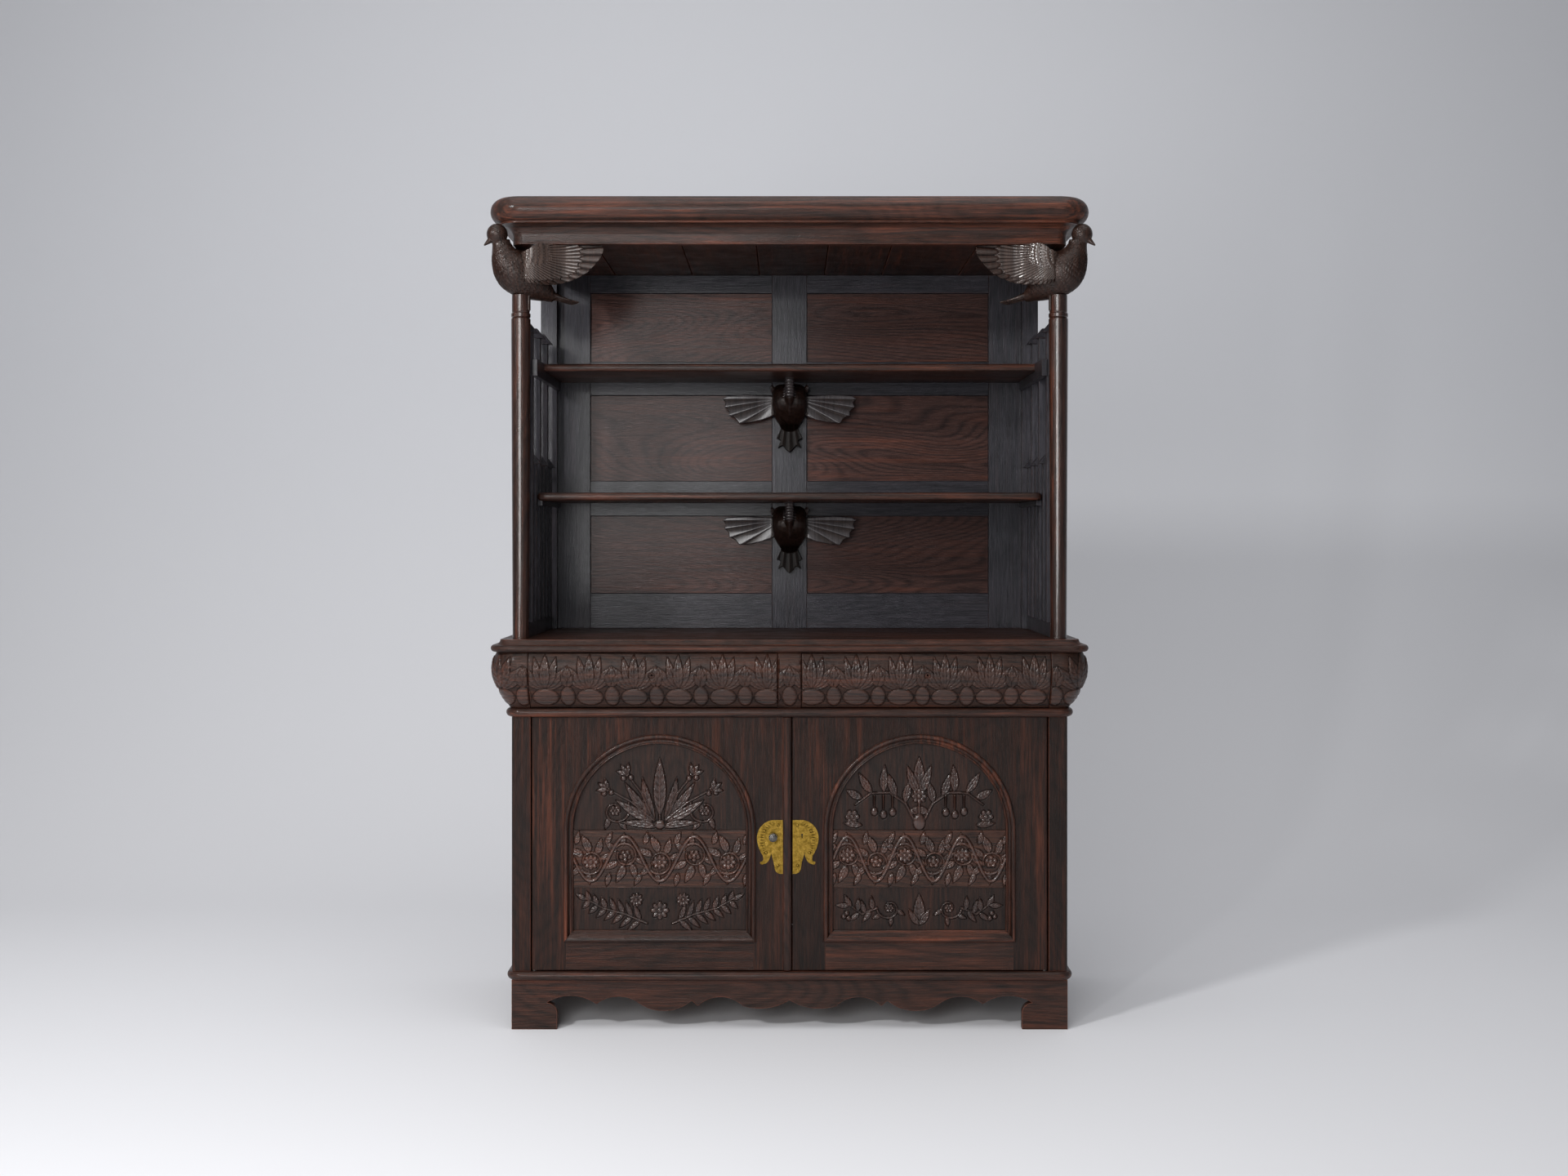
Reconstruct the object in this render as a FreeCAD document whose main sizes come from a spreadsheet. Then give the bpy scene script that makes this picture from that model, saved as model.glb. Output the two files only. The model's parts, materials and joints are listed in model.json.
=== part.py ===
import FreeCAD, Part
import math
import os
import Sketcher

# Carved oak cabinet: a two-door base with two drawers and an open shelf hutch above.
# Millimetres. X runs to the right, -Y to the front and +Z up.
# The origin is on the floor, in the middle of the whole object.

doc = FreeCAD.newDocument("cabinet")

# Driving sizes

SIZES = {
    # Overall
    "overall_depth": 600,
    "body_width": 1460,
    "plinth_height": 130,
    "bead_height": 23,
    "case_height": 668,
    "frieze_height": 149,
    "worktop_thickness": 32,
    "hutch_height": 1037,
    "cornice_height": 118,
    # Common stock
    "board_thickness": 22,
    "panel_thickness": 12,
    "fixed_gap": 0.3,
    # Plinth
    "plinth_foot_width": 120,
    "plinth_side_clear": 62,
    "glue_block": 58,
    # Waist and base beads
    "bead_flat": 6,
    "base_bead_nose": 8.5,
    "waist_bead_nose": 11.4,
    "strip_inner_radius": 4,
    # Lower case
    "post_width": 50,
    "post_round": 7,
    "side_rail_height": 90,
    "side_panel_recess": 5,
    "back_board_thickness": 15,
    "inner_shelf_height": 327,
    "inner_shelf_setback": 62,
    "cleat_width": 20,
    # Frieze and drawers
    "frieze_top_overhang": 40,
    "frieze_swell": 53,
    "frieze_foot_overhang": 5,
    "frieze_swell_height": 74,
    "frieze_straight_bow": 3,
    "frieze_bow": 8.55,
    "drawer_end_width": 50,
    "muntin_width": 60,
    "drawer_gap": 1.5,
    "drawer_foot_gap": 2,
    "drawer_side_thickness": 12,
    "drawer_side_height": 116,
    "drawer_bottom_thickness": 8,
    "drawer_bottom_rise": 10,
    "drawer_back_gap": 64,
    "drawer_runner_height": 26,
    "run_gap": 0.5,
    # Worktop
    "worktop_overhang": 54,
    "worktop_bead_height": 18,
    "worktop_bead_nose": 8,
    "worktop_top_setback": 25,
    "worktop_strip_width": 52,
    # Doors
    "door_thickness": 24,
    "door_edge_gap": 2,
    "door_end_gap": 3.5,
    "meeting_gap": 3,
    "left_meeting_edge": 17.6,
    "astragal_width": 22.6,
    "astragal_proud": 6,
    "arch_offset": 1,
    "springing_drop": 298,
    "moulding_outer": 252,
    "moulding_inner": 226.5,
    "moulding_proud": 9,
    "moulding_lap": 6,
    "arch_lap": 9,
    "sill_height": 77,
    "sill_depth": 30,
    "panel_setback": 8,
    "middle_board_proud": 4,
    "middle_board_height": 151,
    "pivot_inset": 7.5,
    "pivot_radius": 4,
    "pivot_depth": 9,
    "pivot_seat": 20,
    "pivot_fit": 0.05,
    "seat_fit": 0.02,
    "washer_radius": 6.5,
    # Brass plates and latch
    "plate_width": 68,
    "plate_height": 141,
    "plate_top_height": 397,
    "plate_thickness": 1.5,
    "nail_radius": 2,
    "nail_head": 1,
    "lock_height": 354,
    "knob_from_edge": 26,
    "knob_radius": 11,
    "knob_length": 14,
    "knob_stem": 6,
    "spindle_radius": 4,
    "spindle_fit": 0.08,
    "cam_length": 44,
    "cam_width": 12,
    "cam_thickness": 4,
    "cam_standoff": 9,
    "keeper_thickness": 3,
    "keeper_width": 18,
    "keeper_gap": 1.5,
    "keeper_rise": 34,
    "keyhole_from_edge": 24.7,
    "keyhole_radius": 2.6,
    "keyhole_slot": 9,
    "keyhole_slot_width": 2.4,
    "lock_case_width": 54,
    "lock_case_height": 78,
    "lock_case_thickness": 12,
    "bolt_height": 26,
    "bolt_thickness": 6,
    "bolt_throw": 9,
    "bolt_length": 36,
    "bolt_fit": 0.5,
    "drawer_keyhole_offset": 3,
    "drawer_keyhole_height": 90,
    "drawer_lock_width": 52,
    "drawer_lock_height": 44,
    "drawer_bolt_width": 20,
    "drawer_bolt_length": 66,
    "drawer_bolt_throw": 8,
    # Hutch
    "column_side_inset": 20,
    "column_front_inset": 28,
    "column_foot_radius": 21.5,
    "column_top_radius": 25.5,
    "perch_to_fascia": 131,
    "column_ring_height": 20,
    "perch_radius": 23.5,
    "perch_height": 43,
    "hutch_post_inset": 4,
    "hutch_post_width": 47,
    "hutch_post_depth": 30,
    "slat_inset": 46,
    "slat_width": 38,
    "slat_thickness": 24,
    "slat_first": 44,
    "slat_last": 79.5,
    "tall_slat_drop": 30,
    "short_slat_top": 466,
    "cap_height": 28,
    "cap_half_width": 31,
    "cap_half_depth": 18,
    "cap_top_half_width": 9,
    "cap_top_half_depth": 5,
    "gallery_rail_height": 40,
    "gallery_rail_width": 20,
    "bearer_height": 46,
    "bearer_width": 14,
    "shelf_housing": 6,
    "upper_shelf_top": 742,
    "lower_shelf_top": 388,
    "shelf_thickness": 21,
    "upper_shelf_front": 181,
    "lower_shelf_front": 125,
    "shelf_corner_radius": 22,
    "back_stile_width": 141,
    "back_muntin_width": 102,
    "back_top_rail_low": 984,
    "back_upper_rail_low": 684,
    "back_upper_rail_high": 782,
    "back_lower_rail_low": 329.5,
    "back_lower_rail_high": 432,
    "back_bottom_rail_high": 102,
    "back_panel_setback": 8,
    # Cornice
    "cornice_overhang": 59,
    "cornice_wall": 25,
    "fascia_height": 24,
    "cove_height": 26,
    "cove_reach": 34,
    "cove_hollow": 8,
    "fillet_height": 4,
    "fillet_reach": 37,
    "soffit_thickness": 15,
    "soffit_gap": 3,
    # Birds on the columns
    "bird_length": 254,
    "bird_turn": 30,
    "wing_thickness": 12,
    "wing_span": 235,
    "wing_drop": 111,
    "wing_line": 14,
    "wing_start": 6,
    "leg_radius": 5,
    "leg_drop": 41,
    "leg_spread": 50,
    # Birds under the shelves
    "bracket_drop": 206,
    "bracket_reach": 182,
    "bracket_wing_span": 194,
    "bracket_wing_drop": 83,
    "bracket_wing_low": 40,
    "bracket_wing_thickness": 8,
    "bracket_wing_standoff": 40,
}

# Places along the outlines, each a share of the size that it follows

# Plinth apron, from the foot to the middle: along the half width, up the plinth, and bow
APRON_SHARES = (
    (0.836, 0.0, 0.0),
    (0.836, 0.36, 0.0),
    (0.873, 0.54, -0.05),
    (0.695, 0.51, 0.155),
    (0.537, 0.51, 0.155),
    (0.352, 0.58, -0.17),
    (0.330, 0.47, 0.0),
    (0.167, 0.47, 0.185),
    (0.0, 0.59, -0.10),
)
# Brass plate: away from the meeting edge, up the plate, and bow as a share of the height
PLATE_SHARES = (
    (0.0, 1.0, 0.0),
    (0.40, 1.0, 0.0),
    (1.0, 0.64, 0.092),
    (0.778, 0.342, 0.02),
    (0.756, 0.289, 0.0),
    (0.867, 0.225, -0.02),
    (0.756, 0.18, 0.03),
    (0.533, 0.267, 0.02),
    (0.467, 0.40, 0.01),
    (0.356, 0.214, 0.0),
    (0.32, 0.118, 0.0),
    (0.11, 0.0, 0.03),
    (0.0, 0.0, 0.0),
)
# Nails of a plate: away from the meeting edge, and up the plate
NAIL_SHARES = ((0.18, 0.906), (0.71, 0.797), (0.644, 0.39), (0.19, 0.155))
# Slats from front to back
SLAT_ORDER = ("tall", "short", "tall", "short", "tall", "short")
# Joints between the soffit boards, along the half width
SOFFIT_SHARES = (-0.70, -0.39, -0.12, 0.14, 0.37, 0.68)
# Joints between the lower back boards, along the half width
BACK_BOARD_SHARES = (-0.68, -0.33, 0.02, 0.36, 0.69)
# Bird on a column: forward, up, half width, half thickness and lean in degrees,
# lengths as shares of the bird's length
BIRD_SHARES = (
    (-0.362, 0.01, 0.07, 0.055, -8),
    (-0.236, 0.094, 0.15, 0.142, -18),
    (-0.087, 0.181, 0.205, 0.22, -25),
    (0.063, 0.26, 0.205, 0.228, -38),
    (0.157, 0.362, 0.165, 0.173, -55),
    (0.197, 0.465, 0.11, 0.114, -75),
    (0.213, 0.551, 0.087, 0.098, -80),
)
TAIL_SHARES = (
    (-0.33, 0.03, 0.08, 0.05, -12),
    (-0.46, -0.01, 0.09, 0.022, -6),
    (-0.61, -0.04, 0.115, 0.010, 4),
)
# Head and beak: forward, up and radius
HEAD_SHARES = (0.258, 0.612, 0.108)
BEAK_SHARES = (0.40, 0.484, 0.030)
# Wing of a column bird: along the span and down the drop
WING_SHARES = (
    (0.0, 0.24),
    (0.09, 0.22),
    (0.17, 0.17),
    (0.29, 0.0),
    (1.0, 0.0),
    (1.0, 0.12),
    (0.985, 0.25),
    (0.95, 0.36),
    (0.905, 0.48),
    (0.82, 0.66),
    (0.725, 0.78),
    (0.62, 0.875),
    (0.53, 0.93),
    (0.45, 0.97),
    (0.37, 0.99),
    (0.28, 1.0),
    (0.19, 0.98),
    (0.08, 0.90),
    (0.0, 0.72),
    (-0.01, 0.45),
)
# Bird under a shelf: forward along the reach, down the drop, half width and half thickness
# as shares of the drop, and lean in degrees
BRACKET_SHARES = (
    (0.10, 0.76, 0.075, 0.050, 72),
    (0.22, 0.64, 0.135, 0.105, 62),
    (0.40, 0.44, 0.225, 0.170, 52),
    (0.58, 0.27, 0.215, 0.160, 46),
    (0.70, 0.175, 0.110, 0.085, 42),
    (0.76, 0.125, 0.056, 0.056, 46),
    (0.95, -0.04, 0.054, 0.054, 50),
)
# Fin tail of a bracket bird: out from the middle and down, as shares of the drop
FIN_SHARES = (
    (0.085, 0.70),
    (0.175, 0.86),
    (0.130, 0.885),
    (0.160, 0.955),
    (0.065, 0.945),
    (0.0, 1.0),
)
# Wing of a bracket bird: along the span and down the drop
BRACKET_WING_SHARES = (
    (0.14, 0.05),
    (0.60, 0.0),
    (0.94, 0.06),
    (1.0, 0.18),
    (0.965, 0.36),
    (0.94, 0.55),
    (0.87, 0.72),
    (0.83, 0.88),
    (0.70, 1.0),
    (0.40, 0.86),
    (0.14, 0.62),
)


# Sheet and formulas

sheet = doc.addObject("Spreadsheet::Sheet", "Sizes")
for row, (name, number) in enumerate(SIZES.items(), 1):
    sheet.set("A%d" % row, name)
    sheet.set("B%d" % row, str(number))
    sheet.setAlias("B%d" % row, name)
doc.recompute()


class Size:
    """A length with its number and the formula that gives it from the sheet."""

    def __init__(self, number, formula):
        self.number = float(number)
        self.formula = formula

    def __add__(self, other):
        other = size_of(other)
        return Size(self.number + other.number, "(%s + %s)" % (self.formula, other.formula))

    def __sub__(self, other):
        other = size_of(other)
        return Size(self.number - other.number, "(%s - %s)" % (self.formula, other.formula))

    def __mul__(self, other):
        other = size_of(other)
        return Size(self.number * other.number, "(%s * %s)" % (self.formula, other.formula))

    def __truediv__(self, other):
        other = size_of(other)
        return Size(self.number / other.number, "(%s / %s)" % (self.formula, other.formula))

    def __neg__(self):
        return self * -1

    def __radd__(self, other):
        return size_of(other) + self

    def __rsub__(self, other):
        return size_of(other) - self

    def __rmul__(self, other):
        return self * other


def size_of(value):
    return value if isinstance(value, Size) else Size(value, "(%r)" % value)


class Sheet:
    """Reads a named cell as a Size."""

    def __getattr__(self, name):
        return Size(sheet.get(name), "Sizes." + name)


s = Sheet()

# Levels and faces that many pieces share

half_width = s.body_width / 2
back = s.overall_depth / 2
front = s.cornice_overhang - s.overall_depth / 2
z_base = s.plinth_height
z_case = z_base + s.bead_height
z_waist = z_case + s.case_height
z_frieze = z_waist + s.bead_height
z_worktop = z_frieze + s.frieze_height
z_hutch = z_worktop + s.worktop_thickness
z_fascia = z_hutch + s.hutch_height
z_roof = z_fascia + s.cornice_height
inside = half_width - s.board_thickness
front_inside = front + s.board_thickness
back_inside = back - s.back_board_thickness
post_inside = half_width - s.post_width
column_x = half_width - s.column_side_inset
column_y = front + s.column_front_inset
z_perch = z_fascia - s.perch_to_fascia
z_shaft = z_perch - s.perch_height - s.column_ring_height
drawer_outer = half_width - s.drawer_end_width
keyhole_x = (drawer_outer + s.muntin_width / 2) / 2 + s.drawer_keyhole_offset
arch_x = post_inside / 2 + s.arch_offset
z_springing = z_waist - s.springing_drop
hutch_outer = half_width - s.hutch_post_inset
hutch_inner = hutch_outer - s.hutch_post_width
slat_face = half_width - s.slat_inset


# Building blocks

def vector(x, y, z=0):
    return FreeCAD.Vector(size_of(x).number, size_of(y).number, size_of(z).number)


def named(kind, name):
    thing = doc.addObject(kind, name)
    thing.Label = name
    return thing


def box(name, x, y, z):
    """A board between two places along each axis."""
    board = named("Part::Box", name)
    for side, corner, ends in (("Length", "x", x), ("Width", "y", y), ("Height", "z", z)):
        low, high = size_of(ends[0]), size_of(ends[1])
        board.setExpression(side, (high - low).formula)
        board.setExpression("Placement.Base." + corner, low.formula)
    return board


def rod(name, centre, radius, axis, ends):
    """A round bar along x, y or z between two places."""
    turns = {"x": (0, 90, 0), "y": (0, 0, -90), "z": (0, 0, 0)}
    bar = named("Part::Cylinder", name)
    low, high = size_of(ends[0]), size_of(ends[1])
    bar.setExpression("Radius", size_of(radius).formula)
    bar.setExpression("Height", (high - low).formula)
    bar.Placement = FreeCAD.Placement(FreeCAD.Vector(), FreeCAD.Rotation(*turns[axis]))
    place = dict(zip([letter for letter in "xyz" if letter != axis], centre))
    place[axis] = low
    for letter in "xyz":
        bar.setExpression("Placement.Base." + letter, size_of(place[letter]).formula)
    return bar


def cut(name, base, *tools):
    tool = tools[0] if len(tools) == 1 else joined(name + "_tools", *tools)
    result = named("Part::Cut", name)
    result.Base = base
    result.Tool = tool
    return result


def joined(name, *pieces):
    result = named("Part::MultiFuse", name)
    result.Shapes = list(pieces)
    return result


def group(name, *pieces):
    """Separate solids that share one node."""
    result = named("Part::Compound", name)
    result.Links = list(pieces)
    return result


def quarter_bow(radius):
    """How far a quarter circle stands off its chord."""
    return radius * (1 - math.cos(math.pi / 4))


def bowed_arc(start, end, bow):
    """Circle arc between two points that bows to the left of its run by a signed height."""
    chord = end - start
    aside = FreeCAD.Vector(-chord.y, chord.x, 0).normalize()
    radius = chord.Length ** 2 / (8 * abs(bow)) + abs(bow) / 2
    centre = (start + end) / 2 + aside * (bow - math.copysign(radius, bow))
    first, last = (end, start) if bow > 0 else (start, end)
    begin = math.atan2(first.y - centre.y, first.x - centre.x)
    finish = math.atan2(last.y - centre.y, last.x - centre.x)
    if finish <= begin:
        finish += 2 * math.pi
    return Part.ArcOfCircle(Part.Circle(centre, FreeCAD.Vector(0, 0, 1), radius), begin, finish)


def draw(sketch, points, closed=True):
    """Lines and bowed arcs through points, each (x, y) or (x, y, bow of the run to it)."""
    points = [(size_of(p[0]), size_of(p[1]), size_of(p[2] if len(p) > 2 else 0)) for p in points]
    runs = list(zip(points, points[1:] + points[:1] if closed else points[1:]))
    ends = []
    for number, (start, end) in enumerate(runs):
        a, b, bow = vector(*start[:2]), vector(*end[:2]), end[2]
        if bow.number:
            sketch.addGeometry(bowed_arc(a, b, bow.number))
            ends.append((2, 1) if bow.number > 0 else (1, 2))
            chord = "((%s)^2 + (%s)^2)" % ((end[0] - start[0]).formula, (end[1] - start[1]).formula)
            height = "abs(%s)" % bow.formula
            turn = sketch.addConstraint(Sketcher.Constraint("Radius", number, sketch.Geometry[number].Radius))
            sketch.setExpression("Constraints[%d]" % turn, "%s / (8 * %s) + %s / 2" % (chord, height, height))
        else:
            sketch.addGeometry(Part.LineSegment(a, b))
            ends.append((1, 2))
    for number, (start, end) in enumerate(runs):
        pin(sketch, number, ends[number][0], start)
        if number + 1 < len(runs):
            sketch.addConstraint(
                Sketcher.Constraint("Coincident", number, ends[number][1], number + 1, ends[number + 1][0]))
        elif closed:
            sketch.addConstraint(Sketcher.Constraint("Coincident", number, ends[number][1], 0, ends[0][0]))
        else:
            pin(sketch, number, ends[number][1], end)
    return sketch


def pin(sketch, number, end, place):
    """Ties one end of a line to its place from the sheet."""
    for kind, size in (("DistanceX", place[0]), ("DistanceY", place[1])):
        tie = sketch.addConstraint(Sketcher.Constraint(kind, -1, 1, number, end, size.number))
        sketch.setExpression("Constraints[%d]" % tie, size.formula)


def body_sketch(body, plane, offset, points):
    sketch = body.newObject("Sketcher::SketchObject", body.Name + "_outline")
    origin_plane = [part for part in body.Origin.OriginFeatures if part.Role == plane + "_Plane"][0]
    sketch.AttachmentSupport = (origin_plane, [""])
    sketch.MapMode = "FlatFace"
    sketch.setExpression("AttachmentOffset.Base.z", size_of(offset).formula)
    return draw(sketch, points)


def slab(name, plane, ends, points):
    """A board of any outline, seen along the axis that the plane leaves out."""
    low, high = size_of(ends[0]), size_of(ends[1])
    body = named("PartDesign::Body", name)
    sketch = body_sketch(body, plane, -high if plane == "XZ" else low, points)
    pad = body.newObject("PartDesign::Pad", name + "_pad")
    pad.Profile = sketch
    pad.setExpression("Length", (high - low).formula)
    return body


def turned(name, x, y, points):
    """A turned piece on an upright axis."""
    body = named("PartDesign::Body", name)
    sketch = body_sketch(body, "XZ", 0, points)
    turning = body.newObject("PartDesign::Revolution", name + "_turning")
    turning.Profile = sketch
    turning.ReferenceAxis = (sketch, ["V_Axis"])
    turning.Angle = 360
    body.setExpression("Placement.Base.x", size_of(x).formula)
    body.setExpression("Placement.Base.y", size_of(y).formula)
    return body


def moulding(name, profile, reach=None):
    """A profile carried round the cabinet's sides and front, or round one front corner.

    The profile's points are outward of the body's face and up. With a reach, the moulding
    runs from the back of the left side to that far from the middle of the front.
    """
    inner = half_width + min((size_of(p[0]) for p in profile), key=lambda size: size.number)
    line = front + half_width - inner
    radius = s.strip_inner_radius
    bow = quarter_bow(radius)
    path = [(-inner, back), (-inner, line + radius), (-inner + radius, line, -bow)]
    if reach is None:
        path += [(inner - radius, line), (inner, line + radius, -bow), (inner, back)]
    else:
        path += [(-reach, line)]
    spine = draw(named("Sketcher::SketchObject", name + "_path"), path, closed=False)
    section = named("Sketcher::SketchObject", name + "_profile")
    section.Placement = FreeCAD.Placement(FreeCAD.Vector(), FreeCAD.Rotation(FreeCAD.Vector(1, 0, 0), 90))
    section.setExpression("Placement.Base.y", back.formula)
    draw(section, [(-half_width - p[0], *p[1:]) for p in profile])
    sweep = named("Part::Sweep", name)
    sweep.Sections = [section]
    sweep.Spine = (spine, ["Edge%d" % (number + 1) for number in range(len(path) - 1)])
    sweep.Solid = True
    return sweep


def mirrored(name, piece):
    """The same piece on the other side of the cabinet's middle."""
    result = named("Part::Mirroring", name)
    result.Source = piece
    result.Normal = FreeCAD.Vector(1, 0, 0)
    return result


def both(x, side):
    """Two places across the width, in rising order on either side of the middle."""
    return (x[0], x[1]) if side > 0 else (-x[1], -x[0])


def modelled(name, shape):
    """A free-form piece."""
    piece = named("Part::Feature", name)
    piece.Shape = shape
    return piece


# Plinth

def plinth():
    half = [(-half_width * x, z_base * z, z_base * bow) for x, z, bow in APRON_SHARES]
    other = [(half_width * x, z_base * z) for x, z, bow in reversed(APRON_SHARES[:-1])]
    bows = [z_base * bow for x, z, bow in reversed(APRON_SHARES)][:-1]
    apron = [(-half_width, z_base), (-half_width, 0)] + half
    apron += [(*point, bow) for point, bow in zip(other, bows)]
    apron += [(half_width, 0), (half_width, z_base)]
    slab("plinth_front", "XZ", (front, front_inside), apron)
    side_ends = (front_inside, back - s.board_thickness)
    foot = s.plinth_foot_width
    arch = [(side_ends[0], z_base), (side_ends[0], 0), (side_ends[0] + foot, 0)]
    arch += [(side_ends[1] - foot, 0, s.plinth_side_clear), (side_ends[1], 0), (side_ends[1], z_base)]
    sides = [slab("plinth_side_%d" % side, "YZ", both((inside, half_width), side), arch) for side in (-1, 1)]
    group("plinth_sides", *sides)
    high = s.plinth_side_clear
    clear = [(-half_width, z_base), (-half_width, 0), (foot - half_width, 0), (foot - half_width, high)]
    clear += [(half_width - foot, high), (half_width - foot, 0), (half_width, 0), (half_width, z_base)]
    slab("plinth_back", "XZ", (back - s.board_thickness, back), clear)
    blocks = []
    for side in (-1, 1):
        for low, high in ((front_inside, front_inside + s.glue_block),
                          (back - s.board_thickness - s.glue_block, back - s.board_thickness)):
            name = "glue_block_%d" % (len(blocks) + 1)
            blocks.append(box(name, both((inside - s.glue_block, inside), side), (low, high),
                              (s.seat_fit, z_base)))
    group("plinth_corner_blocks", *blocks)


# Base and waist beads with their boards

def bead_profile(low, nose):
    high = low + s.bead_height
    return [(-s.board_thickness, low), (s.bead_flat, low), (s.bead_flat, high, nose),
            (-s.board_thickness, high)]


def pivot_place(side):
    edge = post_inside - s.door_edge_gap
    return (edge - s.pivot_inset) * side, front + s.pivot_inset


def pivot_hole(name, side, low, high):
    return rod(name, pivot_place(side), s.pivot_radius + s.pivot_fit, "z", (low, high))


def beads():
    deeper = s.pivot_depth + s.washer_radius / 4
    for name, low, nose, hole in (
            ("base_bead", z_base, s.base_bead_nose, (z_case - deeper, z_case + s.bead_height)),
            ("waist_bead", z_waist, s.waist_bead_nose, (z_waist - s.bead_height, z_waist + deeper))):
        strip = moulding(name + "_strip", bead_profile(low, nose))
        holes = [pivot_hole("%s_hole_%d" % (name, side), side, *hole) for side in (-1, 1)]
        cut(name, strip, *holes)
    across = (-inside, inside)
    along = (front_inside, back_inside)
    for name, low in (("bottom_board", z_base), ("divider_board", z_waist)):
        board = box(name + "_blank", across, along, (low, low + s.bead_height))
        radius = s.strip_inner_radius
        corners = []
        for side in (-1, 1):
            blank = box("%s_corner_%d" % (name, side), both((inside - radius, inside + radius), side),
                        (front_inside - radius, front_inside + radius), (low, low + s.bead_height))
            round_end = rod("%s_round_%d" % (name, side), ((inside - radius) * side, front_inside + radius),
                            radius, "z", (low, low + s.bead_height))
            corners.append(cut("%s_nick_%d" % (name, side), blank, round_end))
        cut(name, board, *corners)


# Lower case

def lower_case():
    posts = (z_case, z_waist)
    for side, name in ((-1, "front_left_post"), (1, "front_right_post")):
        x = both((post_inside, half_width), side)
        radius = s.post_round
        if side < 0:
            outline = [(x[0], front + s.post_width), (x[0], front + radius),
                       (x[0] + radius, front, -quarter_bow(radius)), (x[1], front),
                       (x[1], front + s.post_width)]
        else:
            outline = [(x[0], front + s.post_width), (x[0], front), (x[1] - radius, front),
                       (x[1], front + radius, -quarter_bow(radius)),
                       (x[1], front + s.post_width)]
        slab(name, "XY", posts, outline)
    rear = (back_inside - s.post_width, back_inside)
    rebated = []
    for side in (-1, 1):
        rebated.append(slab("rear_post_%d" % side, "XY", posts, [
            (post_inside * side, rear[0]), (half_width * side, rear[0]), (half_width * side, back),
            (inside * side, back), (inside * side, back_inside), (post_inside * side, back_inside)]))
    group("rear_posts", *rebated)
    between = (front + s.post_width, rear[0])
    rails = []
    panels = []
    for side in (-1, 1):
        x = both((inside, half_width), side)
        for name, z in (("bottom", (z_case, z_case + s.side_rail_height)),
                        ("top", (z_waist - s.side_rail_height, z_waist))):
            rails.append(box("side_%s_rail_%d" % (name, side), x, between, z))
        outer = half_width - s.side_panel_recess
        panels.append(box("side_panel_%d" % side, both((outer - s.panel_thickness, outer), side), between,
                          (z_case + s.side_rail_height, z_waist - s.side_rail_height)))
    group("case_sides", *rails, *panels)
    joints = [-inside] + [half_width * share for share in BACK_BOARD_SHARES] + [inside]
    boards = [box("back_board_%d" % (number + 1), ends, (back_inside, back), (z_case, z_worktop))
              for number, ends in enumerate(zip(joints, joints[1:]))]
    group("lower_back_boards", *boards)
    shelf_low = z_case + s.inner_shelf_height - s.board_thickness
    box("inner_shelf", (-post_inside, post_inside), (front + s.inner_shelf_setback, back_inside),
        (shelf_low, shelf_low + s.board_thickness))
    cleats = []
    for side in (-1, 1):
        cleats.append(box("shelf_cleat_%d" % side, both((post_inside - s.cleat_width, post_inside), side),
                          (front + s.door_thickness + s.cleat_width, back_inside),
                          (shelf_low - s.cleat_width, shelf_low)))
    group("shelf_cleats", *cleats)


# Frieze and drawers

def frieze_outer(low, high):
    """Outward places and levels of the swelling front, from its foot to its top."""
    straight = z_frieze + s.frieze_swell_height
    widest = s.frieze_swell
    return [(s.frieze_foot_overhang, low), (widest - s.frieze_foot_overhang, straight, s.frieze_straight_bow),
            (s.frieze_top_overhang, high, s.frieze_bow)]


def frieze_profile(low, high):
    return [(-s.board_thickness, low)] + frieze_outer(low, high) + [(-s.board_thickness, high)]


def front_points(low, high):
    """The swelling profile as front-to-back and height places, for a board across the front."""
    swell = [(front - place[0], *place[1:]) for place in frieze_outer(low, high)]
    return [(front_inside, low)] + swell + [(front_inside, high)]


def frieze():
    left = moulding("left_frieze_corner", frieze_profile(z_frieze, z_worktop), reach=drawer_outer)
    group("frieze_ends", left, mirrored("right_frieze_corner", left))
    half = s.muntin_width / 2
    slab("drawer_muntin", "YZ", (-half, half), front_points(z_frieze, z_worktop))
    middle = s.board_thickness / 2
    pieces = [box("drawer_divider", (-middle, middle), (front_inside, back_inside), (z_frieze, z_worktop))]
    low, high = z_frieze, z_frieze + s.drawer_runner_height
    deep = (front_inside + s.strip_inner_radius, back_inside)
    outer_face = drawer_outer - s.drawer_gap + s.run_gap
    inner_face = half + s.drawer_gap - s.run_gap
    for side in (-1, 1):
        pieces.append(box("outer_guide_%d" % side, both((outer_face, inside), side), deep, (low, high)))
        pieces.append(box("inner_guide_%d" % side, both((middle, inner_face), side), deep, (low, high)))
    group("drawer_guides", *pieces)


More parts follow.
